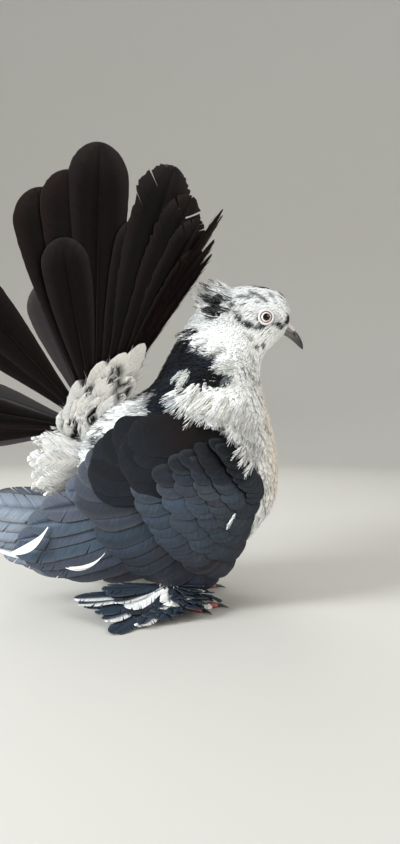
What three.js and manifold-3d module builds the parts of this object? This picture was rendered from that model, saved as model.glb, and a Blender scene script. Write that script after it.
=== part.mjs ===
// A life-size, still fantail pigeon with a raised, folded-back fan, a small crest and feathered feet.
// Millimetres, +Z up, +X the way the bird faces, +Y its left side. The floor is at z = 0.

import * as THREE from "three";
import { mergeVertices } from "three/addons/utils/BufferGeometryUtils.js";
import Module from "manifold-3d";

const wasm = await Module();
wasm.setup();

// Driving dimensions

const GAP = 0.3; // between touching pieces
const LEFT = 1;
const RIGHT = -1;
const SIDES = [
  ["right", RIGHT],
  ["left", LEFT],
];

// The body is one loft from the bill's base to the tail's root. Each row is a section, from its point
// on the upper profile (x, z) to its point on the lower profile (x, z), with its half width.
const BODY = [
  [92, 215, 90, 205, 5],
  [91.5, 224, 86, 200, 9.5],
  [85, 234, 79.5, 194.5, 12],
  [70, 239.3, 72.5, 186, 14],
  [52, 239, 69.5, 177, 16.5],
  [34, 233, 69.5, 167, 20],
  [18, 218, 71.5, 156, 25],
  [6, 198, 75, 143, 31],
  [-4, 179, 79, 127, 37],
  [-13, 164, 82, 107, 43],
  [-23, 156, 82, 86, 48],
  [-33, 152, 73, 62, 51],
  [-42, 150, 52, 41, 51],
  [-49, 147, 22, 28, 48],
  [-55, 143, -10, 26, 43],
  [-60, 138, -36, 36, 36],
  [-64, 132, -56, 56, 28],
  [-67, 126, -69, 80, 20],
  [-69, 121, -75, 100, 13],
];
const BODY_END = BODY.length - 1;
const CUT = 0.02; // half the cut between two body nodes, in sections
// Where each body node starts and ends, in sections, and how many steps its loft takes
const BODY_NODES = {
  head: [0, 5, 13],
  neck: [5, 9, 8],
  torso: [9, 15.4, 11],
  rump: [15.4, BODY_END, 4],
};

// Head
const EYE = new THREE.Vector3(72.5, 12.4, 213.4);
const EYE_RADIUS = 4.6;
const LID_RADIUS = 5.2;
const LID_THICKNESS = 1.3;
const BILL_ROOT = new THREE.Vector3(87.2, 0, 206);
const BILL_TIP = new THREE.Vector3(103, 0, 192);
const BILL_ALONG = BILL_TIP.clone().sub(BILL_ROOT).normalize();
const BILL_UP = new THREE.Vector3(-BILL_ALONG.z, 0, BILL_ALONG.x);
const BILL_HALF_WIDTH = 4.6;
const BILL_HALF_HEIGHT = 4.4;
const MOUTH_SHARE = 0.42; // of the bill's height, below the mouth line
// The wattle's two lobes: places along the bill and above its middle line, and their radii
const WATTLE = [
  [-2, 4],
  [1, 4.3],
  [4, 4.1],
  [6.5, 3.4],
  [7.6, 2.9],
];
const WATTLE_RADII = [1.6, 2.2, 2.1, 1.5, 0.5];
const NOSTRIL = [8.6, 2.2]; // its place along the bill and above the middle line
const CREST_COUNT = 9;
const CREST_LENGTH = 19;
const CREST_ROLL = 0.8; // how far each is turned about its own length, one way and then the other

// Wing, on a curved sheet that stands off the bird's middle plane by wingStand
const WING_MOST_STAND = 61;
const WING_CENTRE = [6, 90];
const WING_RADII = [60, 44];
const WING_TURN = THREE.MathUtils.degToRad(14);
const WING_RIM_DROP = 9;
const WING_FEATHER_BEND = 4;
const FEATHER_THICKNESS = 0.7;
// Where each vane is stepped, from its root to its tip
const LONG_SHARES = [0, 0.3, 0.6, 0.82, 0.94, 1];
const SHORT_SHARES = [0, 0.4, 0.75, 0.92, 1];

// Each tier of wing feathers runs from a line of roots to a line of tips, in x and z. lift is how far
// the tier's tips stand out from the wing's sheet, sink how much lower its roots lie, and tilt how far
// each vane's upper edge stands out past its lower one, so that the vanes overlap without touching.
const WING_TIERS = [
  {
    name: "primaries",
    count: 6,
    roots: [[26, 50], [12, 62], [0, 76]],
    tips: [[-88, 26], [-130, 44], [-150, 76]],
    half: 9.5,
    lift: -9,
    sink: 0,
    tilt: 2.2,
    shares: LONG_SHARES,
  },
  {
    name: "secondaries",
    count: 5,
    roots: [[24, 52], [4, 78], [-6, 104]],
    tips: [[-56, 28], [-98, 54], [-80, 90]],
    half: 11.5,
    lift: -3.2,
    sink: 3,
    tilt: 1.8,
    shares: SHORT_SHARES,
  },
  {
    name: "tertials",
    count: 3,
    roots: [[16, 98], [20, 116], [12, 130]],
    tips: [[-66, 82], [-64, 104], [-40, 124]],
    half: 13,
    lift: 1,
    sink: 6,
    tilt: 1.5,
    shares: SHORT_SHARES,
  },
  {
    name: "scapulars",
    count: 4,
    roots: [[34, 118], [30, 132], [20, 142]],
    tips: [[-24, 108], [-34, 126], [-32, 141]],
    half: 14,
    lift: 3.6,
    sink: 6,
    tilt: 1.3,
    shares: SHORT_SHARES,
  },
  {
    name: "greater_coverts",
    count: 5,
    roots: [[36, 46], [24, 70], [12, 95]],
    tips: [[14, 19], [-28, 31], [-55, 67]],
    half: 13.5,
    lift: 1,
    sink: 8,
    tilt: 1.6,
    shares: SHORT_SHARES,
  },
  {
    name: "median_coverts",
    count: 5,
    roots: [[46, 60], [36, 82], [24, 107]],
    tips: [[27, 27], [-2, 46], [-24, 88]],
    half: 12.5,
    lift: 3.6,
    sink: 10,
    tilt: 1.2,
    shares: SHORT_SHARES,
  },
  {
    name: "lesser_coverts",
    count: 4,
    roots: [[55, 82], [49, 99], [36, 118]],
    tips: [[41, 48], [19, 67], [0, 106]],
    half: 12.5,
    lift: 5.8,
    sink: 12,
    tilt: 1.2,
    shares: SHORT_SHARES,
  },
  {
    name: "marginal_coverts",
    count: 3,
    roots: [[61, 98], [56, 111], [46, 123]],
    tips: [[54, 68], [38, 87], [20, 118]],
    half: 12,
    lift: 7.2,
    sink: 20,
    tilt: 1.2,
    shares: SHORT_SHARES,
  },
];

// Tail: two half fans hinged on the upright middle line and folded back
const TAIL_PIVOT = new THREE.Vector3(-58, 0, 129);
const TAIL_LEAN = THREE.MathUtils.degToRad(61); // the middle feather's slope, forwards of upright
const TAIL_FOLD = THREE.MathUtils.degToRad(58); // how far each half is folded back
// Each tail feather's angle round the fan from its middle line in degrees, its length, half its width,
// and how far its tip is bent towards the middle line
const TAIL_RIGHT = [
  [2, 156, 12, 12],
  [5, 174, 13, 5],
  [9, 188, 14, 6],
  [14, 203, 17, 0],
  [21, 190, 6, 0],
  [30, 205, 17.5, 0],
  [38, 187, 17, 0],
  [41, 146, 15, 0],
  [46, 179, 17, 0],
  [70, 165, 17, 0],
  [76, 162, 17, 0],
  [105, 158, 16, 0],
  [113, 150, 16, 0],
];
const TAIL_LEFT = [
  [4, 168, 14, 0],
  [9, 182, 16, 0],
  [14, 188, 17, 0],
  [19, 186, 14, 0],
  [37, 180, 16, 0],
  [43, 176, 17, 0],
  [49, 172, 17, 0],
  [55, 168, 17, 0],
  [61, 164, 16, 0],
  [102, 156, 15, 0],
  [108, 152, 16, 0],
  [115, 146, 16, 0],
];
const TAIL_TILT = 2.2;
const TAIL_ROOT_RADII = [15, 11, 17];
const COVERTS_PER_SIDE = 7;
const COVERT_LENGTHS = [64, 46]; // by the middle line, and at the fan's lower edge
const COVERT_BENDS = [12, 0];
const COVERT_HALF_WIDTH = 13;
const UNDERTAIL_CENTRE = new THREE.Vector3(-66, 0, 105);
// Tiers of feathers round the rump's end: how many, how far from its centre, how long, how far they
// splay, and how much of a turn they fill
const UNDERTAIL_TIERS = [
  { count: 6, radius: 14, length: 38, splay: 0.3, turn: 3.6 },
  { count: 5, radius: 9, length: 47, splay: 0.12, turn: 3.3 },
];
const UNDERTAIL_HALF_WIDTH = 8;

// Legs and feathered feet
const HIP = new THREE.Vector3(6, 22, 44);
const ANKLE = new THREE.Vector3(2, 27, 15);
const HIP_RADIUS = 13;
const ANKLE_RADIUS = 6;
const TOE_RADIUS = 3.4;
const TOES = [
  // angle from straight ahead, outwards, in degrees, and length
  [2, 34],
  [32, 27],
  [-30, 27],
  [172, 19],
];
const CLAW_LENGTH = 8;
const MUFF_COUNT = 10;
// Round the foot from its front to its back: the angle outwards from straight ahead in degrees, the
// length, and the height of the tip
const MUFF_FANS = [
  [30, 38, 15],
  [62, 38, 9],
  [100, 44, 5],
  [117, 68, 1.5],
  [137, 64, 9],
  [158, 70, 15],
];
const MUFF_HALF_WIDTH = 8;
const SOLE = 0; // the height of everything that stands on the floor

// A small seeded generator, so that the feathers vary the same way each time.
function randomFrom(seed) {
  let state = seed;
  return () => {
    state = (state + 0x6d2b79f5) | 0;
    let t = Math.imul(state ^ (state >>> 15), 1 | state);
    t = (t + Math.imul(t ^ (t >>> 7), 61 | t)) ^ t;
    return ((t ^ (t >>> 14)) >>> 0) / 4294967296;
  };
}

const lerp = THREE.MathUtils.lerp;
const smooth = (x) => THREE.MathUtils.smoothstep(x, 0, 1);

// Closed meshes and solids

function solidOf(geometry) {
  geometry.deleteAttribute("normal");
  geometry.deleteAttribute("uv");
  const merged = mergeVertices(geometry, 1e-4);
  const triVerts = new Uint32Array(merged.index.array);
  const make = () =>
    new wasm.Manifold(
      new wasm.Mesh({ numProp: 3, vertProperties: merged.attributes.position.array, triVerts }),
    );
  const made = make();
  if (made.volume() > 0) return made;
  triVerts.reverse();
  return make();
}

// A closed skin over rings of equally many points, with a flat fan at each end.
function ringSolid(rings) {
  const count = rings[0].length;
  const points = rings.flat();
  const index = [];
  for (let r = 0; r + 1 < rings.length; r++)
    for (let k = 0; k < count; k++) {
      const a = r * count + k;
      const b = r * count + ((k + 1) % count);
      index.push(a, b, b + count, a, b + count, a + count);
    }
  for (const [first, flip] of [
    [0, true],
    [(rings.length - 1) * count, false],
  ]) {
    const middle = points.length;
    const ring = points.slice(first, first + count);
    points.push(ring.reduce((sum, p) => sum.add(p), new THREE.Vector3()).divideScalar(count));
    for (let k = 0; k < count; k++) {
      const a = first + k;
      const b = first + ((k + 1) % count);
      index.push(...(flip ? [middle, b, a] : [middle, a, b]));
    }
  }
  return solidOf(new THREE.BufferGeometry().setFromPoints(points).setIndex(index));
}

// A thin blade. place(s, u, w) puts a point: s runs from root to tip, u across from -1 to 1, and w is
// the face, -1 or 1. shares lists the places along it. Both faces are split into triangles alike.
function bladeSolid(place, shares) {
  const points = shares.flatMap((s) => [place(s, -1, 1), place(s, 1, 1), place(s, 1, -1), place(s, -1, -1)]);
  const index = [];
  for (let i = 0; i + 1 < shares.length; i++) {
    const [a, b, c, d, e, f, g, h] = Array.from({ length: 8 }, (_, k) => 4 * i + k);
    index.push(a, b, f, a, f, e); // upper face
    index.push(c, d, g, d, h, g); // lower face
    index.push(b, c, g, b, g, f, d, a, e, d, e, h); // edges
  }
  const end = points.length - 4;
  index.push(0, 2, 1, 0, 3, 2, end, end + 1, end + 2, end, end + 2, end + 3);
  return solidOf(new THREE.BufferGeometry().setFromPoints(points).setIndex(index));
}

// A ball squashed to three radii.
function ballSolid(centre, radii, across = 20, high = 14) {
  const ball = new THREE.SphereGeometry(1, across, high);
  ball.scale(...radii);
  ball.translate(centre.x, centre.y, centre.z);
  return solidOf(ball);
}

// A rod of round sections along points, each with its own radius.
function rodSolid(points, radii, sides = 10) {
  const rings = points.map((p, i) => {
    const along = points[Math.min(i + 1, points.length - 1)].clone();
    along.sub(points[Math.max(i - 1, 0)]).normalize();
    const side = new THREE.Vector3(0, 1, 0).cross(along);
    if (side.length() < 0.1) side.set(1, 0, 0);
    side.normalize();
    const up = along.clone().cross(side);
    return Array.from({ length: sides }, (_, k) => {
      const turn = (2 * Math.PI * k) / sides;
      return p
        .clone()
        .addScaledVector(side, radii[i] * Math.cos(turn))
        .addScaledVector(up, radii[i] * Math.sin(turn));
    });
  });
  return ringSolid(rings);
}

const join = (solids) => wasm.Manifold.union(solids);

// What lies at or above, or at or below, a height: used to lay the feet and long feathers on the floor.
function aboveFloor(solid) {
  const block = new THREE.BoxGeometry(600, 600, 200);
  block.translate(0, 0, SOLE - 100);
  return solid.subtract(solidOf(block));
}

// What lies on one side of the middle plane, with half the gap left open.
function halfOf(solid, side) {
  const block = new THREE.BoxGeometry(900, 400, 900);
  block.translate(0, -side * (200 - GAP / 2), 0);
  return solid.subtract(solidOf(block));
}

// Body

const blend = (a, b, c, d, t) =>
  0.5 * (2 * b + (c - a) * t + (2 * a - 5 * b + 4 * c - d) * t * t + (3 * b - a - 3 * c + d) * t ** 3);

// The section at t, counted in rows of BODY: its middle, its half depth along the profile line, that
// line's direction, and its half width.
function bodySection(t) {
  const i = Math.min(Math.floor(t), BODY_END - 1);
  const row = (k) => BODY[THREE.MathUtils.clamp(k, 0, BODY_END)];
  const at = (k) => blend(row(i - 1)[k], row(i)[k], row(i + 1)[k], row(i + 2)[k], t - i);
  const upper = new THREE.Vector3(at(0), 0, at(1));
  const lower = new THREE.Vector3(at(2), 0, at(3));
  const up = upper.clone().sub(lower);
  const depth = up.length() / 2;
  return { middle: upper.add(lower).multiplyScalar(0.5), up: up.normalize(), depth, width: at(4) };
}

function bodyRing(t, grow, sides) {
  const { middle, up, depth, width } = bodySection(t);
  return Array.from({ length: sides }, (_, k) => {
    const turn = (2 * Math.PI * k) / sides;
    const p = middle.clone().addScaledVector(up, (depth + grow) * Math.cos(turn));
    p.y = (width + grow) * Math.sin(turn);
    return p;
  });
}

function nodeSections(name) {
  const [from, to, steps] = BODY_NODES[name];
  const first = from === 0 ? 0 : from + CUT;
  const last = to === BODY_END ? to : to - CUT;
  return Array.from({ length: steps + 1 }, (_, i) => lerp(first, last, i / steps));
}

const BODY_SIDES = 20;
const bodySolid = (sections, grow = 0) => ringSolid(sections.map((t) => bodyRing(t, grow, BODY_SIDES)));

// What other pieces are cut clear of
const ROOM = 0.45;
const bodyRoom = bodySolid(Object.keys(BODY_NODES).flatMap(nodeSections), ROOM);
const neckRoom = bodySolid([BODY_NODES.neck[0] - CUT, ...nodeSections("neck")], ROOM);

// Feathers

// How wide a feather is along its length, from 0 to 1 of its half width.
function paddle(s, root = 0.3) {
  const rise = lerp(root, 1, smooth(Math.min(1, s / 0.65)));
  const end = s > 0.8 ? Math.sqrt(Math.max(0, 1 - ((s - 0.8) / 0.2) ** 2)) : 1;
  return rise * Math.max(0.22, end);
}

// Wing

// How far the wing's sheet stands out from the middle plane over a point (x, z) of the bird's side.
function wingStand(x, z) {
  const ahead = Math.max(0, x - 20) / 46;
  const behind = Math.max(0, 20 - x) / 170;
  const level = lerp(84, 62, smooth(Math.min(1, behind)));
  return WING_MOST_STAND - 20 * ahead ** 2 - 26 * behind ** 1.3 - 20 * ((z - level) / 60) ** 2;
}

const onWing = (side, x, z, lift) => new THREE.Vector3(x, side * (wingStand(x, z) + lift), z);

// The point at share f along a line of three corners, drawn as a curve.
function alongLine(line, f) {
  const [a, b, c] = line.map(([x, z]) => new THREE.Vector2(x, z));
  const handle = b.clone().multiplyScalar(2).sub(a.clone().add(c).multiplyScalar(0.5));
  return new THREE.QuadraticBezierCurve(a, handle, c).getPoint(f);
}

function wingFeather(side, tier, f, random) {
  const root = alongLine(tier.roots, f);
  const tip = alongLine(tier.tips, f);
  tip.lerp(root, 0.05 * random());
  const along = tip.clone().sub(root);
  const across = new THREE.Vector2(-along.y, along.x).normalize();
  const half = tier.half * lerp(0.92, 1.06, random());
  const place = (s, u, w) => {
    const p = root.clone().addScaledVector(along, s);
    p.addScaledVector(across, WING_FEATHER_BEND * 4 * s * (1 - s) + u * half * paddle(s));
    const lift = tier.lift + tier.tilt * u - tier.sink * (1 - s) ** 2;
    return onWing(side, p.x, p.y, lift + (w * FEATHER_THICKNESS) / 2);
  };
  return bladeSolid(place, tier.shares);
}

// The fleshy arm and hand with the small feathers that lie smooth on them: a lens on the bird's side.
function wingCore(side) {
  const sides = 16;
  const ring = (share, lift) =>
    Array.from({ length: sides }, (_, k) => {
      const turn = (2 * Math.PI * k) / sides;
      const p = new THREE.Vector2(
        share * WING_RADII[0] * Math.cos(turn),
        share * WING_RADII[1] * Math.sin(turn),
      ).rotateAround(new THREE.Vector2(), WING_TURN);
      return lift === null
        ? new THREE.Vector3(p.x + WING_CENTRE[0], side * 20, p.y + WING_CENTRE[1])
        : onWing(side, p.x + WING_CENTRE[0], p.y + WING_CENTRE[1], lift);
    });
  const shares = [0.45, 0.8, 1];
  return ringSolid([
    ...shares.map((share) => ring(share, -WING_RIM_DROP * share ** 3)),
    ring(0.96, null),
  ]);
}

function wing(side) {
  const random = randomFrom(side === RIGHT ? 11 : 12);
  const pieces = [wingCore(side)];
  for (const tier of WING_TIERS)
    for (let i = 0; i < tier.count; i++)
      pieces.push(wingFeather(side, tier, i / (tier.count - 1), random));
  return join(pieces).subtract(bodyRoom);
}

// Tail

// The frame of one half fan: its middle direction, its outward direction, and the face that looks
// forwards and outwards.
function fanFrame(side) {
  const middle = new THREE.Vector3(Math.cos(TAIL_LEAN), 0, Math.sin(TAIL_LEAN));
  const outward = new THREE.Vector3(0, side * Math.cos(TAIL_FOLD), 0);
  const back = new THREE.Vector3(-Math.sin(TAIL_LEAN), 0, Math.cos(TAIL_LEAN));
  outward.addScaledVector(back, Math.sin(TAIL_FOLD));
  const face = middle.clone().cross(outward).multiplyScalar(-side);
  return { middle, outward, face };
}

function fanFeather(side, { angle, length, half, bend = 0, lift, curl, shares }) {
  const { middle, outward, face } = fanFrame(side);
  const turn = THREE.MathUtils.degToRad(angle);
  const along = middle.clone().multiplyScalar(Math.cos(turn)).addScaledVector(outward, Math.sin(turn));
  const over = middle.clone().multiplyScalar(-Math.sin(turn)).addScaledVector(outward, Math.cos(turn));
  const place = (s, u, w) =>
    TAIL_PIVOT.clone()
      .addScaledVector(face, 2 + lift * smooth(Math.min(1, 3 * s)) + TAIL_TILT * u)
      .addScaledVector(face, curl * (length * s / 100) ** 2 + (w * FEATHER_THICKNESS) / 2)
      .addScaledVector(along, 3 + (length - 3) * s)
      .addScaledVector(over, u * half * paddle(s, 0.08) - bend * s * s);
  return bladeSolid(place, shares);
}

function tailHalf(side) {
  const random = randomFrom(side === RIGHT ? 21 : 22);
  const root = ballSolid(new THREE.Vector3(TAIL_PIVOT.x, side * 5, TAIL_PIVOT.z - 2), TAIL_ROOT_RADII, 14, 8);
  const pieces = [root];
  for (const [angle, length, half, bend] of side === RIGHT ? TAIL_RIGHT : TAIL_LEFT)
    pieces.push(
      fanFeather(side, {
        angle,
        length,
        half,
        bend,
        lift: 0,
        curl: 1.5,
        shares: LONG_SHARES,
      }),
    );
  for (let i = 0; i < COVERTS_PER_SIDE; i++)
    pieces.push(
      fanFeather(side, {
        angle: lerp(5, 96, i / (COVERTS_PER_SIDE - 1)),
        length: lerp(...COVERT_LENGTHS, i / (COVERTS_PER_SIDE - 1)) * lerp(0.9, 1.08, random()),
        bend: lerp(...COVERT_BENDS, i / (COVERTS_PER_SIDE - 1)),
        half: COVERT_HALF_WIDTH,
        lift: 8,
        curl: 4,
        shares: SHORT_SHARES,
      }),
    );
  return halfOf(join(pieces), side).subtract(bodyRoom);
}

// The feathers under the tail grow round the rump's end, and point back and a little down.
function undertailFeather(tier, i, random) {
  const turn = tier.turn * (i / (tier.count - 1) - 0.5);
  const out = new THREE.Vector3(0, Math.sin(turn), -Math.cos(turn));
  const over = new THREE.Vector3(0, Math.cos(turn), Math.sin(turn));
  const root = UNDERTAIL_CENTRE.clone().addScaledVector(out, tier.radius);
  const along = new THREE.Vector3(-1, 0, -0.12).addScaledVector(out, tier.splay).normalize();
  const length = tier.length * lerp(0.85, 1.08, random());
  const place = (s, u, w) =>
    root
      .clone()
      .addScaledVector(along, length * s)
      .addScaledVector(over, u * UNDERTAIL_HALF_WIDTH * paddle(s, 0.3))
      .addScaledVector(out, 1.2 * u + (w * FEATHER_THICKNESS) / 2);
  return bladeSolid(place, SHORT_SHARES);
}

function rump() {
  const random = randomFrom(31);
  const pieces = [bodySolid(nodeSections("rump"))];
  for (const tier of UNDERTAIL_TIERS)
    for (let i = 0; i < tier.count; i++) pieces.push(undertailFeather(tier, i, random));
  return join(pieces);
}

// Head

const eyeCentre = (side) => new THREE.Vector3(EYE.x, side * EYE.y, EYE.z);

function eye(side) {
  return ballSolid(eyeCentre(side), [EYE_RADIUS, EYE_RADIUS * 0.8, EYE_RADIUS], 14, 9);
}

// The bare lids, a ring on the head around the eye.
function lidRing(side) {
  const ring = new THREE.TorusGeometry(LID_RADIUS, LID_THICKNESS, 6, 15);
  ring.scale(1, 1, 0.8);
  ring.rotateX(Math.PI / 2);
  ring.translate(EYE.x, side * (EYE.y + 1.8), EYE.z);
  return solidOf(ring);
}

// One crest feather, from the rear of the crown: those in the middle point up and back, those at the
// sides back and down.
function crestFeather(i, random) {
  const f = (2 * i) / (CREST_COUNT - 1) - 1;
  const t = lerp(3.9, 4.8, (i % 3) / 2);
  const { middle, up, depth, width } = bodySection(t);
  const turn = 0.95 * f;
  const root = middle.clone().addScaledVector(up, (depth - 3) * Math.cos(turn));
  root.y = (width - 3) * Math.sin(turn);
  const rise = lerp(0.62, 0.05, f * f) + 0.25 * (random() - 0.5);
  const along = new THREE.Vector3(-0.85, 0.5 * f, rise).normalize();
  const over = new THREE.Vector3(0, 1, 0.4 * f).cross(along).cross(along).normalize();
  over.applyAxisAngle(along, CREST_ROLL * (i % 2 ? 1 : -1));
  const out = along.clone().cross(over);
  const length = CREST_LENGTH * lerp(0.8, 1.15, random());
  const place = (s, u, w) =>
    root
      .clone()
      .addScaledVector(along, length * s)
      .addScaledVector(over, u * 3.4 * paddle(s, 0.6) * (1 - 0.45 * s))
      .addScaledVector(out, 3 * s * s + (w * FEATHER_THICKNESS) / 2);
  return bladeSolid(place, SHORT_SHARES);
}

function head() {
  const random = randomFrom(41);
  const pieces = [bodySolid(nodeSections("head"))];
  for (let i = 0; i < CREST_COUNT; i++) pieces.push(crestFeather(i, random));
  let made = join(pieces).subtract(neckRoom);
  for (const [, side] of SIDES) {
    const socket = new THREE.Vector3(EYE.x, side * EYE.y, EYE.z);
    const room = [EYE_RADIUS + GAP, EYE_RADIUS * 0.8 + GAP, EYE_RADIUS + GAP];
    made = made.subtract(ballSolid(socket, room, 14, 9));
  }
  return made;
}

// The bill's two halves meet along the mouth line. Each is a tapered, down-curved cone.
function billSolid(from, to) {
  const along = BILL_TIP.clone().sub(BILL_ROOT);
  const steps = 6;
  const sides = 12;
  const rings = [];
  for (let i = 0; i <= steps; i++) {
    const s = i / steps;
    const middle = BILL_ROOT.clone().addScaledVector(along, s);
    middle.addScaledVector(BILL_UP, 1.6 * Math.sin(Math.PI * s) - 1.5 * s ** 4);
    const size = Math.sqrt(Math.max(0.004, 1 - s ** 1.6)) * lerp(1, 0.8, s);
    rings.push(
      Array.from({ length: sides }, (_, k) => {
        const turn = (2 * Math.PI * k) / sides;
        const high = THREE.MathUtils.clamp(Math.sin(turn), from, to);
        const p = middle.clone().addScaledVector(BILL_UP, high * BILL_HALF_HEIGHT * size);
        p.y = Math.cos(turn) * BILL_HALF_WIDTH * size;
        return p;
      }),
    );
  }
  return ringSolid(rings);
}

function bill(upper) {
  const line = 2 * MOUTH_SHARE - 1;
  const gap = GAP / 2 / BILL_HALF_HEIGHT;
  if (!upper) return billSolid(-1, line - gap).subtract(bodyRoom);
  const slits = SIDES.map(([, side]) => {
    const centre = BILL_ROOT.clone().addScaledVector(BILL_ALONG, NOSTRIL[0]);
    centre.addScaledVector(BILL_UP, NOSTRIL[1]).setY(side * 3);
    return rodSolid([-1.6, 0, 1.6].map((s) => centre.clone().addScaledVector(BILL_ALONG, s)), [0.2, 0.6, 0.2], 6);
  });
  return billSolid(line + gap, 1).subtract(bodyRoom).subtract(join(slits));
}

// The soft, pale wattle over the nostrils, in two lobes on the upper bill's root.
function wattle() {
  const lobes = SIDES.map(([, side]) => {
    const points = WATTLE.map(([s, high]) => {
      const p = BILL_ROOT.clone().addScaledVector(BILL_ALONG, s).addScaledVector(BILL_UP, high);
      return p.setY(side * 1.7);
    });
    return rodSolid(points, WATTLE_RADII, 8);
  });
  const room = billSolid(-1, 1);
  const clear = join([room, room.translate([GAP * BILL_UP.x, 0, GAP * BILL_UP.z])]);
  return join(lobes).subtract(bodyRoom).subtract(clear);
}

// Legs

const mirrored = (p, side) => new THREE.Vector3(p.x, side * p.y, p.z);

function thigh(side) {
  const hip = mirrored(HIP, side);
  const ankle = mirrored(ANKLE, side);
  const points = [0, 0.35, 0.7, 1].map((s) => hip.clone().lerp(ankle, s * 0.8));
  const radii = [HIP_RADIUS, HIP_RADIUS * 0.95, HIP_RADIUS * 0.8, ANKLE_RADIUS * 1.3];
  return rodSolid(points, radii, 14).subtract(bodyRoom);
}

const toeDirection = (side, degrees) => {
  const turn = THREE.MathUtils.degToRad(degrees);
  return new THREE.Vector3(Math.cos(turn), side * Math.sin(turn), 0);
};

function toe(side, degrees, length) {
  const along = toeDirection(side, degrees);
  const heel = mirrored(ANKLE, side).setZ(TOE_RADIUS + 1.5);
  const points = [0, 0.25, 0.6, 0.9, 1].map((s) => heel.clone().addScaledVector(along, length * s));
  points.slice(1).forEach((p, i) => (p.z = TOE_RADIUS * lerp(1, 0.75, i / 3) - 0.6));
  const radii = [TOE_RADIUS, TOE_RADIUS, TOE_RADIUS * 0.9, TOE_RADIUS * 0.75, TOE_RADIUS * 0.4];
  return rodSolid(points, radii, 7);
}

function claw(side, [degrees, length], grow = 0) {
  const along = toeDirection(side, degrees);
  const start = mirrored(ANKLE, side).addScaledVector(along, length - grow);
  const points = [0, 0.5, 1].map((s) => start.clone().addScaledVector(along, CLAW_LENGTH * s));
  points.forEach((p, i) => (p.z = [2.4, 2.1, 0.7][i]));
  return aboveFloor(rodSolid(points, [1.5, 1.1, 0.3].map((r) => r + grow), 6));
}

// One long foot feather, from the toes outwards and down to the floor.
function muffFeather(side, i, random) {
  const f = ((MUFF_FANS.length - 1) * i) / (MUFF_COUNT - 1);
  const k = Math.min(Math.floor(f), MUFF_FANS.length - 2);
  const [degrees, most, tip] = [0, 1, 2].map((n) => lerp(MUFF_FANS[k][n], MUFF_FANS[k + 1][n], f - k));
  const turn = THREE.MathUtils.degToRad(degrees);
  const along = new THREE.Vector3(Math.cos(turn), side * Math.sin(turn), 0);
  const over = new THREE.Vector3(-along.y, along.x, 0);
  const length = most * lerp(0.86, 1.06, random());
  const place = (s, u, w) => {
    const p = mirrored(ANKLE, side).addScaledVector(along, 1 + length * s);
    p.addScaledVector(over, u * MUFF_HALF_WIDTH * paddle(s, 0.35));
    p.z = lerp(13, tip, smooth(s)) + side * 1.3 * u + (w * FEATHER_THICKNESS) / 2;
    return p;
  };
  return bladeSolid(place, SHORT_SHARES);
}

function foot(side) {
  const random = randomFrom(side === RIGHT ? 51 : 52);
  const ankle = mirrored(ANKLE, side);
  const top = mirrored(HIP, side).lerp(ankle, 0.8);
  const down = ankle.clone().sub(top).normalize();
  const start = top.clone().addScaledVector(down, GAP);
  const points = [start, ankle, ankle.clone().setZ(TOE_RADIUS)];
  const pieces = [rodSolid(points, [ANKLE_RADIUS * 1.3, ANKLE_RADIUS, ANKLE_RADIUS * 0.9], 12)];
  for (const [degrees, length] of TOES) pieces.push(toe(side, degrees, length));
  for (let i = 0; i < MUFF_COUNT; i++) pieces.push(muffFeather(side, i, random));
  const clear = TOES.map((row) => claw(side, row, GAP));
  return aboveFloor(join(pieces)).subtract(join(clear));
}

// Colours

const COLOURS = {
  white: { color: 0xe9e7e0, roughness: 0.85, metalness: 0 },
  black: { color: 0x2b2d33, roughness: 0.6, metalness: 0 },
  tail: { color: 0x1d1716, roughness: 0.55, metalness: 0 },
  horn: { color: 0x2e2a29, roughness: 0.45, metalness: 0 },
  cere: { color: 0xd8cdc8, roughness: 0.8, metalness: 0 },
  lid: { color: 0xc9b4b0, roughness: 0.7, metalness: 0 },
  eye: { color: 0xd9c7c0, roughness: 0.08, metalness: 0 },
  foot: { color: 0x8a3b34, roughness: 0.7, metalness: 0 },
};

const bird = new THREE.Group();

// Adds a solid as a named mesh, keeping its largest closed surface.
function add(name, solid, finish) {
  const parts = solid.decompose();
  const largest = parts.reduce((a, b) => (b.volume() > a.volume() ? b : a));
  const mesh = largest.getMesh();
  const geometry = new THREE.BufferGeometry()
    .setAttribute("position", new THREE.BufferAttribute(mesh.vertProperties, 3))
    .setIndex(new THREE.BufferAttribute(mesh.triVerts, 1));
  const piece = new THREE.Mesh(geometry, new THREE.MeshStandardMaterial(COLOURS[finish]));
  piece.name = name;
  bird.add(piece);
}

add("head", head(), "white");
add("neck", bodySolid(nodeSections("neck")), "white");
add("torso", bodySolid(nodeSections("torso")), "white");
add("rump", rump(), "white");
add("bill_upper", bill(true), "horn");
add("bill_lower", bill(false), "horn");
add("wattle", wattle(), "cere");
for (const [name, side] of SIDES) {
  add("eye_" + name, eye(side), "eye");
  const room = ballSolid(eyeCentre(side), [EYE_RADIUS, EYE_RADIUS * 0.8, EYE_RADIUS].map((r) => r + GAP), 14, 9);
  add("eyelids_" + name, lidRing(side).subtract(bodyRoom).subtract(room), "lid");
  add("wing_" + name, wing(side), "black");
  add("tail_" + name, tailHalf(side), "tail");
  add("thigh_" + name, thigh(side), "black");
  add("foot_" + name, foot(side), "foot");
  TOES.forEach((row, i) => add(`claw_${name}_${i + 1}`, claw(side, row), "horn"));
}

// The part's origin is the middle of its footprint, on the floor.
const box = new THREE.Box3().setFromObject(bird);
bird.position.set(-(box.min.x + box.max.x) / 2, -(box.min.y + box.max.y) / 2, -box.min.z);

export default bird;
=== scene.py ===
# A life-size fantail pigeon, black and white, with its fan raised, a small crest and feathered feet.
# Shapes are worked out in millimetres, +X the way the bird faces, +Y its left and +Z up, and are
# moved into the frame's metres when each mesh is made.

import math

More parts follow.
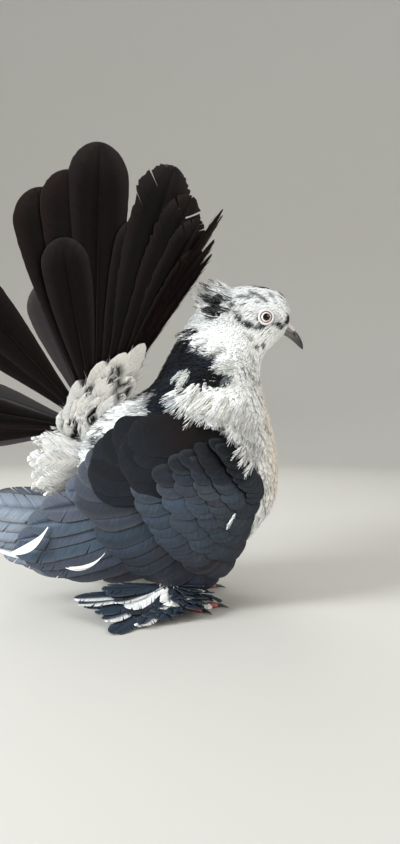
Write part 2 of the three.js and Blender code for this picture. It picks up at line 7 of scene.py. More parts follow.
import bpy
import numpy as np
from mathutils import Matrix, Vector


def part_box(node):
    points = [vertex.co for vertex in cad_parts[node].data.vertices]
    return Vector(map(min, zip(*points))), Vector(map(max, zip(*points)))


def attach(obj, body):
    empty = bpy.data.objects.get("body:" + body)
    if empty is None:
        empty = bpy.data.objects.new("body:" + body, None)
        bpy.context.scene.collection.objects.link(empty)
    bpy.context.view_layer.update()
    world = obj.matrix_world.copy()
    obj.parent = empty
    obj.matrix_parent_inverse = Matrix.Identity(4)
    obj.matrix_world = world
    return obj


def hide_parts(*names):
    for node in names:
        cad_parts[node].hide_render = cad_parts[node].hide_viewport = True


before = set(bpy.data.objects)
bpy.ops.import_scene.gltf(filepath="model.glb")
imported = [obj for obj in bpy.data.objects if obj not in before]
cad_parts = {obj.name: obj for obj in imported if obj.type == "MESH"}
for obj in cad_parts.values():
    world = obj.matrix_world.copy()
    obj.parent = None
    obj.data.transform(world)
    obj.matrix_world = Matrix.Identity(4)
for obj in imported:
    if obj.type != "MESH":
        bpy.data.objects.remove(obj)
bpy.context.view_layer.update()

MM = 0.001
RIGHT = -1
LEFT = 1
SIDES = (("right", RIGHT), ("left", LEFT))

# Driving dimensions, in millimetres

# Sections of the body from the bill's base to the tail's root: a point (x, z) on the upper profile,
# one on the lower profile, and half the width
BODY = np.array(
    [
        (92, 215, 90, 205, 5),
        (91.5, 224, 86, 200, 9.5),
        (85, 234, 79.5, 194.5, 12),
        (70, 239.3, 72.5, 186, 14),
        (52, 239, 69.5, 177, 16.5),
        (34, 233, 69.5, 167, 20),
        (18, 218, 71.5, 156, 25),
        (6, 198, 75, 143, 31),
        (-4, 179, 79, 127, 37),
        (-13, 164, 82, 107, 43),
        (-23, 156, 82, 86, 48),
        (-33, 152, 73, 62, 51),
        (-42, 150, 52, 41, 51),
        (-49, 147, 22, 28, 48),
        (-55, 143, -10, 26, 43),
        (-60, 138, -36, 36, 36),
        (-64, 132, -56, 56, 28),
        (-67, 126, -69, 80, 20),
        (-69, 121, -75, 100, 13),
    ],
    float,
)
BODY_END = len(BODY) - 1

EYE = np.array((72.5, 12.4, 213.4))
EYE_RADIUS = 4.6
BILL_ROOT = np.array((87.2, 0.0, 206.0))
BILL_TIP = np.array((103.0, 0.0, 192.0))
BILL_HALF_WIDTH = 4.6
BILL_HALF_HEIGHT = 4.4

# How far a folded wing stands out at most, the oval of small feathers under its coverts, and how much
# each of its feathers bends
WING_MOST_STAND = 61
WING_CENTRE = np.array((6.0, 90.0))
WING_RADII = (60.0, 44.0)
WING_TURN = math.radians(14)
WING_FEATHER_BEND = 4

TAIL_PIVOT = np.array((-58.0, 0.0, 129.0))
TAIL_LEAN = math.radians(61)
TAIL_FOLD = math.radians(58)
# Angle round the fan in degrees, length, half width and bend of each tail feather
TAIL_RIGHT = (
    (3, 160, 12, 10),
    (6, 178, 15, 8),
    (9, 190, 19, 4),
    (14, 203, 24, 0),
    (20, 158, 13, 0),
    (30, 205, 23, 0),
    (37, 187, 22, 0),
    (41, 144, 18, 0),
    (44, 178, 22, 0),
    (70, 165, 18, 0),
    (76, 162, 18, 0),
    (105, 158, 16, 0),
    (113, 150, 16, 0),
)
TAIL_LEFT = (
    (4, 168, 14, 0),
    (9, 182, 16, 0),
    (14, 188, 17, 0),
    (19, 176, 14, 0),
    (37, 180, 20, 0),
    (43, 176, 20, 0),
    (49, 172, 20, 0),
    (55, 168, 19, 0),
    (61, 164, 18, 0),
    (102, 156, 15, 0),
    (108, 152, 16, 0),
    (115, 146, 16, 0),
)
# Slim, pointed feathers at the fan's front edge, as above
TAIL_WISPS = (
    (4, 194, 4.5, 14),
    (2.5, 178, 4, 8),
    (2, 172, 5, 13),
    (1, 162, 4.5, 14),
    (0.5, 150, 4, 12),
)
TAIL_TILT = 2.2

ANKLE = np.array((2.0, 27.0, 15.0))
HIP = np.array((6.0, 22.0, 44.0))
# The thigh ends at this share of the way from hip to ankle
THIGH_END = 0.85
# No feather or toe comes closer to the floor than this
FLOOR_GAP = 0.15
CLAW_LENGTH = 8.8

# Colours, as linear light
WHITE = np.array((0.83, 0.84, 0.83))
CREAM = np.array((0.80, 0.70, 0.58))
BLACK = np.array((0.0065, 0.0062, 0.0070))
SLATE = np.array((0.030, 0.042, 0.064))
TEAL = np.array((0.020, 0.038, 0.054))
UMBER = np.array((0.016, 0.0085, 0.0072))
PURPLE = np.array((0.024, 0.018, 0.026))
GREY = np.array((0.16, 0.18, 0.20))

eye_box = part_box("eye_right")
OFFSET = np.array((eye_box[0] + eye_box[1]) / 2) / MM - EYE * (1, RIGHT, 1)


def smooth(x):
    """0 up to 1 as x runs from 0 to 1, with soft ends."""
    x = np.clip(x, 0, 1)
    return x * x * (3 - 2 * x)


def mix(a, b, f):
    """From a at f = 0 to b at f = 1."""
    return a + (b - a) * f


def unit(v):
    """Vectors brought to length 1."""
    return v / np.maximum(np.linalg.norm(v, axis=-1, keepdims=True), 1e-9)


def word_of(side):
    """The side's name, as the nodes have it."""
    return "right" if side == RIGHT else "left"


def mirrored(point, side):
    """A point of the left side, or its mirror image on the right."""
    return point * (1, side, 1)


def pairs(a, b):
    """Two values for each point, from arrays whose shapes fit each other."""
    return np.stack(np.broadcast_arrays(a, b), axis=-1)


def level_way(degrees, side):
    """The level direction at an angle from straight ahead towards a side, and the one across it."""
    turn = math.radians(degrees)
    along = np.array((math.cos(turn), side * math.sin(turn), 0.0))
    return along, np.array((-along[1], along[0], 0.0))


def laid(root, along, over, far, c):
    """Points at distances far along a feather and c across it, from its root."""
    return root + along * far[..., None] + over * c[..., None]


def in_cell(cell, along, across):
    """A place on the flat layout: shares along and across a feather's own strip."""
    return cell[:2] + cell[2:] * pairs(along, across)


# Meshes


class Pile:
    """Points, faces and what goes with them, gathered for one mesh."""

    def __init__(self):
        self.points, self.quads, self.tris = [], [], []
        self.tint, self.bake, self.vane = [], [], []
        self.count = 0

    def add(self, points, quads, tris, tint, bake, vane):
        """Points of any shape, their faces, colours and places on the two flat layouts."""
        shape = points.shape[:-1]
        n = int(np.prod(shape))
        self.quads.append(np.reshape(quads, (-1, 4)) + self.count)
        self.tris.append(np.reshape(tris, (-1, 3)) + self.count)
        self.points.append(points.reshape(n, 3))
        self.tint.append(np.broadcast_to(tint, (*shape, 3)).reshape(n, 3))
        self.bake.append(np.broadcast_to(bake, (*shape, 2)).reshape(n, 2))
        self.vane.append(np.broadcast_to(vane, (*shape, 2)).reshape(n, 2))
        self.count += n

    def mesh(self, name, material, slot, nodes=()):
        """One joined mesh of all that was added, in the frame's metres."""
        points = np.concatenate(self.points)
        quads = np.concatenate(self.quads).astype(np.int32)
        tris = np.concatenate(self.tris).astype(np.int32)
        corners = np.concatenate([quads.ravel(), tris.ravel()])
        starts = np.concatenate(
            [np.arange(len(quads)) * 4, quads.size + np.arange(len(tris)) * 3]
        ).astype(np.int32)
        mesh = bpy.data.meshes.new(name)
        mesh.vertices.add(len(points))
        metres = (points + OFFSET) * MM
        mesh.vertices.foreach_set("co", metres.astype(np.float32).ravel())
        mesh.loops.add(len(corners))
        mesh.loops.foreach_set("vertex_index", corners)
        mesh.polygons.add(len(starts))
        mesh.polygons.foreach_set("loop_start", starts)
        mesh.polygons.foreach_set("use_smooth", np.ones(len(starts), bool))
        mesh.update(calc_edges=True)
        made = bpy.data.objects.new(name, mesh)
        bpy.context.scene.collection.objects.link(made)
        colour = mesh.attributes.new("tint", "FLOAT_COLOR", "POINT")
        tint = np.concatenate(self.tint)
        rgba = np.concatenate([tint, np.ones((len(tint), 1))], axis=1)
        colour.data.foreach_set("color", rgba.astype(np.float32).ravel())
        for title, values in (("OFBake", self.bake), ("Vane", self.vane)):
            layer = mesh.uv_layers.new(name=title)
            flat = np.concatenate(values)[corners].astype(np.float32).ravel()
            layer.uv.foreach_set("vector", flat)
        mesh.materials.append(material)
        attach(made, "root")
        if nodes:
            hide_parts(*nodes)
        return made


def circle(count):
    """Angles spread evenly round a circle."""
    return np.arange(count) / count * 2 * math.pi


def tube_faces(rings, around):
    """Faces of a closed tube of rings of points. Its ends are fans from their first points."""
    r, k = np.meshgrid(np.arange(rings - 1), np.arange(around), indexing="ij")
    a = r * around + k
    b = r * around + (k + 1) % around
    quads = np.stack([a, b, b + around, a + around], axis=-1).reshape(-1, 4)
    last = (rings - 1) * around
    tris = [(0, i + 1, i) for i in range(1, around - 1)]
    tris += [(last, last + i, last + i + 1) for i in range(1, around - 1)]
    return quads, np.array(tris)


def many(faces, count, each):
    """The same faces, repeated for count pieces of each points."""
    return (faces[None] + np.arange(count)[:, None, None] * each).reshape(-1, faces.shape[-1])


def rod(pile, path, radii, tint, bake, around=10, squash=1.0, up=(0, 0, 1)):
    """A closed rod of round sections along a path."""
    path, radii = np.asarray(path, float), np.asarray(radii, float)
    ways = unit(np.gradient(path, axis=0))
    side = unit(np.cross(ways, np.asarray(up, float)))
    top = np.cross(side, ways)
    turn = circle(around)
    points = (
        path[:, None]
        + radii[:, None, None] * np.cos(turn)[None, :, None] * side[:, None]
        + squash * radii[:, None, None] * np.sin(turn)[None, :, None] * top[:, None]
    )
    quads, tris = tube_faces(len(path), around)
    s = np.linspace(0, 1, len(path))[:, None]
    pile.add(points, quads, tris, tint, bake, pairs(s * 20, turn[None] / 6.3))


# Body


def body_rows(t):
    """The body's section at t, by a smooth curve through the rows of BODY."""
    i = np.clip(np.floor(t).astype(int), 0, BODY_END - 1)
    f = (t - i)[..., None]
    a, b, c, d = (BODY[np.clip(i + k, 0, BODY_END)] for k in (-1, 0, 1, 2))
    return 0.5 * (
        2 * b + (c - a) * f + (2 * a - 5 * b + 4 * c - d) * f**2 + (3 * b - a - 3 * c + d) * f**3
    )


def body_point(t, turn, grow=0.0):
    """A point of the plumage's outer surface: t counts sections from the bill, turn runs from the
    upper profile round the bird's left side. Past the tail's root it runs straight on."""
    t = np.asarray(t, float)
    beyond = np.maximum(t - BODY_END, 0)
    row = body_rows(np.clip(t, 0, BODY_END))
    upper = np.stack([row[..., 0], np.zeros_like(t), row[..., 1]], axis=-1)
    lower = np.stack([row[..., 2], np.zeros_like(t), row[..., 3]], axis=-1)
    axis = upper - lower
    depth = np.linalg.norm(axis, axis=-1, keepdims=True)
    axis = axis / np.maximum(depth, 1e-6)
    cos, sin = np.cos(turn)[..., None], np.sin(turn)[..., None]
    grow = np.asarray(grow, float)[..., None] if np.ndim(grow) else grow
    point = (upper + lower) / 2 + axis * (depth / 2 + grow) * cos
    point[..., 1] += ((row[..., 4][..., None] + grow) * sin)[..., 0]
    point[..., 0] -= beyond * 12
    return point


STEP = 0.02


def step_along(t, turn, e=STEP):
    """How a point of the body moves as t grows by a small step on each side of it."""
    return body_point(t + e, turn) - body_point(t - e, turn)


def step_round(t, turn, e=STEP):
    """How a point of the body moves as turn grows by a small step on each side of it."""
    return body_point(t, turn + e) - body_point(t, turn - e)


def body_normal(t, turn):
    """The way out of the plumage's outer surface."""
    return unit(np.cross(step_round(t, turn), step_along(t, turn)))


def bake_place(t, turn):
    """Where a point of the body lies on the flat layout of its skin."""
    u = 0.02 + 0.96 * (np.mod(turn + math.pi, 2 * math.pi) / (2 * math.pi))
    v = 0.02 + 0.96 * np.clip(t / (BODY_END + 1), 0, 1)
    return pairs(u, v)


def apart(a, b):
    """The square of the distance between two points."""
    return (a[0] - b[0]) ** 2 + (a[1] - b[1]) ** 2 + (a[2] - b[2]) ** 2


def body_scatter(seed, spacing, keep, tries):
    """Places spread evenly over the body, no closer than the spacing there, where keep allows."""
    rng = np.random.default_rng(seed)
    steps = 240
    all_t = np.linspace(0.02, BODY_END - 0.02, steps)
    all_turns = np.linspace(-math.pi, math.pi, steps + 1)[:-1]
    ts, turns = np.meshgrid(all_t, all_turns, indexing="ij")
    e = 0.01
    along, around = step_along(ts, turns, e) / (2 * e), step_round(ts, turns, e) / (2 * e)
    area = np.linalg.norm(np.cross(along, around), axis=-1)
    area = area / np.maximum(spacing(ts, turns), 0.1) ** 2 * keep(ts, turns)
    share = np.cumsum(area.ravel())
    picked = np.searchsorted(share, rng.random(tries) * share[-1])
    t = ts.ravel()[picked] + (rng.random(tries) - 0.5) * (BODY_END / steps)
    turn = turns.ravel()[picked] + (rng.random(tries) - 0.5) * (2 * math.pi / steps)
    t = np.clip(t, 0.02, BODY_END - 0.01)
    points = body_point(t, turn)
    room = spacing(t, turn)
    cell = float(room.max())
    cells, chosen = {}, []
    keys = np.floor(points / cell).astype(int)
    for n in range(tries):
        x, y, z = keys[n]
        p, r = points[n], room[n]
        near = (
            m
            for dx in (-1, 0, 1)
            for dy in (-1, 0, 1)
            for dz in (-1, 0, 1)
            for m in cells.get((x + dx, y + dy, z + dz), ())
        )
        if all(apart(points[m], p) > r * r for m in near):
            cells.setdefault((x, y, z), []).append(n)
            chosen.append(n)
    return t[chosen], turn[chosen]


# Markings of the body, black on white


def noise3(p, scale, seed):
    """A cheap smooth noise from a few crossed waves."""
    rng = np.random.default_rng(seed)
    total = np.zeros(p.shape[:-1])
    for _ in range(7):
        way = unit(rng.normal(size=3)) * rng.uniform(0.6, 1.6) * 2 * math.pi / scale
        total += np.sin(p @ way + rng.uniform(0, 6.28))
    return total / 2.6


def spot(p, x, z, rx, rz, turn=0.0):
    """How far inside an oval, seen from the side, a point lies: 1 at its middle, 0 at its rim."""
    dx, dz = p[..., 0] - x, p[..., 2] - z
    c, s = math.cos(math.radians(turn)), math.sin(math.radians(turn))
    a, b = (dx * c + dz * s) / rx, (-dx * s + dz * c) / rz
    return 1 - np.sqrt(a * a + b * b)


# The rear edge of the white of the neck and breast: for a height, how far forward the black comes
NAPE_EDGE = np.array(
    (
        (232, -40), (205, -40), (199, -2), (195, 9), (190, 17), (186, 23), (181, 32), (172, 31),
        (168, 40), (164, 45), (161, 36), (158, 24), (150, 18), (144, 12), (139, 9), (134, 20),
        (129, 38), (120, 46), (112, 54), (90, 62), (60, 52), (40, 26), (25, 0),
    ),
    float,
)
# Dark marks of the head, neck and breast, as seen from the side: x, z, radii, turn and strength
BODY_MARKS = (
    # crown
    (73, 238.6, 17, 2.2, -6, 0.97),
    (86, 233, 6, 2.0, -42, 0.95),
    (56, 229, 8.5, 2.6, -4, 0.7),
    (46, 222, 3.0, 3.2, 0, 0.9),
    (54, 222, 3.2, 1.8, 0, 0.6),
    (64, 231.5, 7, 2.2, -25, 0.85),
    (71, 227, 5.2, 2.0, -50, 0.85),
    (66, 225, 3, 1.6, 0, 0.6),
    (77, 231, 4.2, 1.6, -50, 0.7),
    (80, 224, 1.1, 4.0, 25, 0.35),
    # behind and under the eye
    (51, 211.5, 5.5, 2.8, -45, 0.9),
    (58, 207, 7.5, 3.3, -18, 0.97),
    (67.5, 205.0, 6.5, 2.0, 2, 0.95),
    (63, 216, 2.2, 1.0, -20, 0.35),
    # between the eye and the bill
    (81.5, 208, 3.4, 3.2, 0, 0.97),
    (89, 212, 2.6, 5.4, -22, 0.98),
    (85, 206.5, 4.0, 1.9, 25, 0.95),
    (75, 202.5, 1.0, 3.2, 0, 0.4),
    # cheek, throat and breast
    (60, 197, 2.6, 2.8, 0, 0.6),
    (65, 190.5, 4.0, 2.2, 10, 0.8),
    (70.5, 192, 2.0, 2.8, 0, 0.8),
    (62.5, 180, 1.1, 2.8, 0, 0.5),
    (60.5, 166, 1.5, 4.0, 30, 0.8),
    (64, 163, 1.3, 2.8, -30, 0.7),
    (68, 164, 0.9, 3.2, 0, 0.45),
    (73, 128, 1.8, 6.0, 22, 0.6),
    (72, 82, 2.0, 5.5, -20, 0.55),
    # behind the crest's root
    (31, 217, 8, 4.5, 12, 0.95),
)


def black_share(p):
    """How black the body's plumage is at a point, from 0 to 1."""
    x, z = p[..., 0], p[..., 2]
    rough = noise3(p, 16, 5) * 3.2 + noise3(p, 6, 6) * 1.6
    edge = np.interp(z, NAPE_EDGE[::-1, 0], NAPE_EDGE[::-1, 1])
    black = smooth((edge - x + rough) / 4 + 0.5) * smooth((200 - z + rough) / 5)
    # the rump and what lies behind the back are white
    rump = smooth((-24 - x + rough * 1.2) / 8 + 0.5)
    black = black * (1 - rump)
    # belly, below the wings, behind the breast
    under = smooth((60 - z + rough) / 14) * smooth((20 - x) / 10)
    black = np.maximum(black * (1 - under), 0)
    for mx, mz, rx, rz, turn, most in BODY_MARKS:
        black = np.maximum(black, most * smooth(spot(p, mx, mz, rx, rz, turn) * 2.2))
    fleck = noise3(p, 5.5, 71) + 0.6 * noise3(p, 3.1, 72)
    head = smooth((z - 214) / 6) * smooth((fleck - 1.25) / 0.3) * smooth((x - 42) / 10)
    black = np.maximum(black, 0.18 * head)
    rear = rump * smooth((noise3(p, 15, 81) - 0.75) / 0.3) * 0.9
    return np.clip(np.maximum(black, rear), 0, 1)


def body_tint(p, rng):
    """The plumage's colour at points, the same for the skin and the feathers. Its white carries
    painted light below the head, and painted shade on the head and towards the rump.
    """
    black = black_share(p)[..., None]
    front = smooth((p[..., 0] - 58 - np.abs(p[..., 1]) * 0.2) / 22) * smooth((178 - p[..., 2]) / 24)
    white = mix(WHITE, CREAM, (0.75 * front * smooth((p[..., 2] - 50) / 40))[..., None])
    shade = 1 - 0.05 * rng.random(p.shape[:-1])[..., None]
    # Painted light and shade: the white is 1.06 as bright below the head and 0.8 as bright on the head
    shade = shade * mix(1.06, 0.8, smooth((p[..., 2] - 195) / 15))[..., None]
    # Painted shade: the white darkens to 0.82 towards the rump
    shade = shade * mix(1.0, 0.82, smooth((-5 - p[..., 0]) / 20))[..., None]
    dark = mix(BLACK, SLATE * 0.35, (0.4 + 0.5 * np.clip(noise3(p, 30, 9), -0.8, 1))[..., None])
    return mix(white * shade, dark, black)


# Small feathers on the body

SMALL_RINGS = np.array((0.0, 0.3, 0.62, 0.88, 1.0))
SMALL_ACROSS = np.array((-1.0, -0.7, 0.0, 0.7, 1.0, 0.0))
SMALL_HIGH = np.array((0.0, 0.75, 1.0, 0.75, 0.0, -0.5))
SLIVER_RINGS = np.array((0.0, 0.36, 0.7, 1.0))


def on_body(t, turn, way, along, across, lift):
    """Points a distance along and across from places on the body, measured over its surface, and
    lifted off it. way is the direction of along, turned from straight back towards turn's growth."""
    t, turn, way = t[:, None, None], turn[:, None, None], way[:, None, None]
    per_t = np.linalg.norm(step_along(t, turn), axis=-1) / (2 * STEP)
    per_turn = np.linalg.norm(step_round(t, turn), axis=-1) / (2 * STEP)
    per_t, per_turn = np.maximum(per_t, 1.5), np.maximum(per_turn, 2.5)
    dt = (along * np.cos(way) - across * np.sin(way)) / per_t
    dturn = (along * np.sin(way) + across * np.cos(way)) / per_turn
    # the sections widen and narrow, so the first guess is corrected half way along
    half_way = step_along(t + dt * 0.5, turn + dturn * 0.5)
    per_t2 = np.linalg.norm(half_way, axis=-1) / (2 * STEP)
    dt = dt * np.clip(per_t / np.maximum(per_t2, 1.5), 0.5, 2)
    t2, turn2 = t + dt, turn + dturn
    normal = body_normal(np.minimum(t2, BODY_END - 0.05), turn2)
    return body_point(t2, turn2) + normal * lift[..., None]


def vanes_on_body(pile, t, turn, way, length, half, depth, rise, tint, tip_tint, rng, point=0.35):
    """Closed, slightly arched vanes, in rings from root to tip."""
    n = len(t)
    s = SMALL_RINGS[None, :, None]
    wide = np.sin(np.pi * np.clip(SMALL_RINGS * 0.82 + 0.12, 0, 1)) ** 0.7
    wide[-1] = point
    wide = wide[None, :, None] * half[:, None, None]
    across = SMALL_ACROSS[None, None, :]
    high = SMALL_HIGH[None, None, :]
    long = length[:, None, None]
    along = long * s + 0 * across
    lift = -depth[:, None, None] * (1 - s) ** 1.5 + rise[:, None, None] * s**1.6
    lift = lift + (0.05 * wide + 0.12) * high - 0.2
    points = on_body(t, turn, way, along, wide * across, lift)
    quads, tris = tube_faces(len(SMALL_RINGS), len(SMALL_ACROSS))
    blend = smooth((s - 0.45) / 0.5)[..., None]
    colour = mix(tint[:, None, None, :], tip_tint[:, None, None, :], blend)
    colour = np.broadcast_to(colour, points.shape)
    patch = pairs(across * 0.5, s - 0.5)
    bake = bake_place(t, turn)[:, None, None, :] + 0.003 * patch
    phase = rng.random(n)[:, None, None] * 40
    vane = pairs(phase + along - np.abs(across) * wide, across)
    each = len(SMALL_ACROSS) * len(SMALL_RINGS)
    pile.add(points, many(quads, n, each), many(tris, n, each), colour, bake, vane)


def slivers_on_body(
    pile, t, turn, way, length, half, depth, rise, tint, tip_tint, rng, count, thick, fan
):
    """Loose barbs: each feather is a spray of fine, closed, three-sided strands."""
    n = len(t) * count

    def each_strand(values):
        return np.repeat(values, count, axis=0)

    place_in = np.tile(np.linspace(-1, 1, count), len(t))
    place_in = place_in + (rng.random(n) - 0.5) * 0.35
    shorter = 1 - 0.35 * np.abs(place_in) ** 1.5 - 0.22 * rng.random(n)
    t, turn, way = each_strand(t), each_strand(turn), each_strand(way)
    half = each_strand(half)[:, None, None]
    long = (each_strand(length) * shorter)[:, None, None]
    depth = each_strand(depth)[:, None, None]
    rise = (each_strand(rise) * (0.6 + 0.8 * rng.random(n)))[:, None, None]
    s = SLIVER_RINGS[None, :, None]
    taper = np.array((0.8, 1.0, 0.7, 0.12))[None, :, None]
    width = (thick * (0.75 + 0.6 * rng.random(n)))[:, None, None] * taper
    across = np.array((-1.0, 1.0, 0.0))[None, None, :]
    high = np.array((-0.15, -0.15, 0.26))[None, None, :]
    inside = place_in[:, None, None]
    wander = ((rng.random(n) - 0.5) * 0.9)[:, None, None]
    side = inside * half * (0.35 + fan * s + 0.2 * s**2) + wander * half * 0.35 * s**2
    side = side + width * across
    along = long * s + 0 * across
    lift = -depth * (1 - s) ** 1.4 + rise * s**1.8 + width * high
    points = on_body(t, turn, way, along, side, lift)
    quads, tris = tube_faces(len(SLIVER_RINGS), 3)
    blend = smooth((s - 0.35) / 0.6)[..., None]
    tint, tip_tint = each_strand(tint)[:, None, None, :], each_strand(tip_tint)[:, None, None, :]
    colour = mix(tint, tip_tint, blend)
    colour = colour * (0.95 + 0.1 * rng.random(n))[:, None, None, None]
    colour = np.clip(np.broadcast_to(colour, points.shape), 0, 0.92)
    patch = pairs(0.5 * inside + 0 * along, s - 0.5)
    bake = bake_place(t, turn)[:, None, None, :] + 0.003 * patch
    vane = pairs(along, inside)
    each = 3 * len(SLIVER_RINGS)
    pile.add(points, many(quads, n, each), many(tris, n, each), colour, bake, vane)


def scattered(seed, spacing, keep, tries):
    """Roots on the body with their points, in order from the tail to the bill."""
    t, turn = body_scatter(seed, spacing, keep, tries)
    order = np.argsort(-t)
    t, turn = t[order], turn[order]
    return t, turn, body_point(t, turn)


# Feathers of any shape. Each has its own place(share along, across, lift), in millimetres


def paddle(s, root, widest):
    """How wide a feather is along its length, before the rounding of its tip."""
    return mix(root, 1.0, smooth(np.minimum(1, s / widest)))


def outline(q, root, tip=0.2, widest=0.65):
    """The outline's share along and its width at q, from the quill (0) to the tip's middle (1)."""
    bend = np.clip((q - 0.72) / 0.28, 0, 1) * math.pi / 2
    s = np.where(q < 0.72, q / 0.72 * (1 - tip), 1 - tip + tip * np.sin(bend))
    wide = paddle(s, root, widest) * np.where(q < 0.72, 1.0, np.cos(bend))
    return s, wide


EMPTY_TRIS = np.zeros((0, 3), int)


def strip_faces(rows, across):
    """Faces of a thin closed strip: a grid of points above, one below it and a wall round them."""
    k = np.arange(rows * across).reshape(rows, across)
    top = np.stack([k[:-1, :-1], k[1:, :-1], k[1:, 1:], k[:-1, 1:]], -1).reshape(-1, 4)
    rim = np.concatenate([k[:, 0], k[-1, 1:], k[::-1, -1][1:], k[0, ::-1][1:-1]])
    after = np.roll(rim, -1)
    wall = np.stack([rim, after, after + k.size, rim + k.size], -1)
    below = (top + k.size)[:, ::-1]
    return np.concatenate([top, below, wall[:, ::-1]])


def partings(rng, splits, frayed):
    """Where a vane's barbs part, from its quill (0) to its tip's middle (1)."""
    cuts = list(rng.uniform(0.2, 0.8, splits)) + list(rng.uniform(0.72, 1.0, frayed))
    return [0.0] + sorted(c for c in cuts if c > 0.06) + [1.0]


def feather(
    pile, place, length, half, rng, tint, cell,
    root=0.3, rows=30, columns=5, splits=3, frayed=0, gap=0.05, slant=0.9,
    thick=0.5, shaft=0.9, shaft_tint=None, curl=0.6, tip=0.2, wear=0.05, arch=0.05, whole=False,
    rough=0.02, widest=0.65,
):
    """A closed, thin vane on each side of a shaft, or one whole vane. Its barbs part at some
    splits, and at some more near the tip where it is frayed."""
    shares = np.append(np.linspace(0, 0.96, columns) ** 0.8, 1.0)
    phase = rng.random() * 50
    for across in [np.append(-shares[:0:-1], shares)] if whole else [-shares, shares]:
        across = across[None, :]
        cuts = partings(rng, splits, frayed)
        for low, high in zip(cuts[:-1], cuts[1:]):
            if high - low < 0.012:
                continue
            n = max(2, int(round((high - low) * rows)) + 1)
            q = np.linspace(low, high, n)
            near = 0.12 * (q[1] - q[0])
            q = np.concatenate([[low, low + near], q[1:-1], [high - near, high]])[:, None]
            n = len(q)
            b = np.abs(across)
            open_low = gap * rng.random() if low > 0 else 0.0
            open_high = gap * rng.random() if high < 1 else 0.0
            f = (q - low) / (high - low)
            narrow = min(1.0, 0.7 * (high - low) / max(open_low + open_high, 1e-6))
            q_out = q + ((1 - f) * open_low - f * open_high) * narrow * b**1.5
            s_in, w_in = outline(q, root, tip, widest)
            s_out, w_out = outline(q_out, root, tip, widest)
            s_in = np.clip(s_in - slant * w_in * half / length, 0.02, 0.985)
            short = 1 - wear * rng.random()
            ragged = 1 - rough * rng.random((n, 1)) * b**3
            s = mix(s_in, s_out, b**1.15 * short)
            s = s_in + (s - s_in) * ragged
            c = half * w_out * across * short * ragged
            lift = curl * (rng.random() - 0.5) * b**2 - arch * half * b**2
            deep = thick * (1 - 0.7 * b) / 2
            points = np.stack([place(s, c, lift + deep), place(s, c, lift - deep)])
            quads = strip_faces(n, across.size)
            if across[0, -1] > 0:
                quads = quads[:, ::-1]
            colour = tint(*np.broadcast_arrays(s, across, q))
            flat = in_cell(cell, s, 0.5 + 0.48 * across)
            vane = pairs(phase + s_in * length, across * half)
            pile.add(
                points, quads, EMPTY_TRIS,
                np.stack([colour, colour]), np.stack([flat, flat]), np.stack([vane, vane]),
            )
    if shaft > 0:
        s = np.linspace(0, 0.97, 10)[:, None]
        turn = circle(5)[None]
        wide = shaft * (1 - 0.85 * s)
        points = place(s, wide * np.cos(turn), wide * np.sin(turn) * 0.8 + 0.1)
        quads, tris = tube_faces(10, 5)
        colour = tint(*np.broadcast_arrays(s, 0 * turn, 0.5))
        if shaft_tint is not None:
            colour = mix(colour, shaft_tint, (1 - 0.6 * s)[..., None])
        flat = in_cell(cell, s + 0 * turn, 0.5)
        pile.add(points, quads, tris, colour, flat, np.array((phase, 0)))


BARB_RINGS = np.array((0.0, 0.35, 0.7, 1.0))


def plume(
    pile, place, length, half, rng, tint, cell,
    root=0.5, barbs=14, slant=1.3, thick=0.38, loose=0.25, shaft=0.45, droop=0.0, start=0.1,
):
    """A loose feather: single closed barbs off a fine shaft."""
    q = np.concatenate([np.linspace(start, 1, barbs)] * 2)
    side = np.repeat((-1.0, 1.0), barbs)
    q = np.clip(q + (rng.random(len(q)) - 0.5) * 0.6 / barbs, 0.03, 1)
    s_out, w_out = outline(q, root)
    s_in = np.clip(s_out - slant * (w_out * half + 0.12 * half) / length, 0.02, 0.97)
    far = 1 - loose * rng.random(len(q))
    drift = loose * half * 0.6 * (rng.random(len(q)) - 0.5)
    b = BARB_RINGS[None, :, None]
    taper = np.array((0.75, 1.0, 0.75, 0.15))[None, :, None]
    around = np.array((0.0, 2.09, 4.19))[None, None, :]
    far, s_in, s_out = far[:, None, None], s_in[:, None, None], s_out[:, None, None]
    s = s_in + (s_out - s_in) * far * b**1.1
    c = (side * w_out * half)[:, None, None] * far * b**0.85 + drift[:, None, None] * b**2
    rise = ((rng.random(len(q)) - 0.5) * loose * 5)[:, None, None] * b**2 - droop * b**2
    wide = thick * (0.7 + 0.6 * rng.random(len(q)))[:, None, None] * taper
    s = s + wide * np.cos(around) / length * 0.8
    c = c + wide * np.cos(around) * 0.5
    lift = rise + wide * np.sin(around)
    points = place(s, c, lift)
    quads, tris = tube_faces(4, 3)
    colour = tint(*np.broadcast_arrays(s, c / half, q[:, None, None]))
    colour = np.clip(colour * (0.88 + 0.24 * rng.random(len(q)))[:, None, None, None], 0, 0.88)
    flat = in_cell(cell, np.clip(s, 0, 1), np.clip(0.5 + 0.48 * c / half, 0, 1))
    n = len(q)
    pile.add(points, many(quads, n, 12), many(tris, n, 12), colour, flat, pairs(s * length, c))
    if shaft > 0:
        s = np.linspace(0, 0.95, 6)[:, None]
        turn = circle(4)[None]
        wide = shaft * (1 - 0.8 * s)
        points = place(s, wide * np.cos(turn), wide * np.sin(turn))
        quads, tris = tube_faces(6, 4)
        colour = tint(*np.broadcast_arrays(s, 0 * turn, 0.4))
        flat = in_cell(cell, s + 0 * turn, 0.5)
        pile.add(points, quads, tris, colour, flat, pairs(s * length, 0 * turn))


class Cells:
    """A flat layout in equal strips, one for each feather of a mesh."""

    def __init__(self, count):
        self.rows = max(1, math.ceil(math.sqrt(count * 4)))
        self.columns = max(1, math.ceil(count / self.rows))
        self.used = 0

    def next(self):
        row, column = self.used % self.rows, self.used // self.rows
        self.used += 1
        wide, high = 1 / max(self.columns, column + 1), 1 / self.rows
        corner = (column * wide + 0.03 * wide, row * high + 0.05 * high)
        return np.array((*corner, 0.94 * wide, 0.9 * high))


# Materials


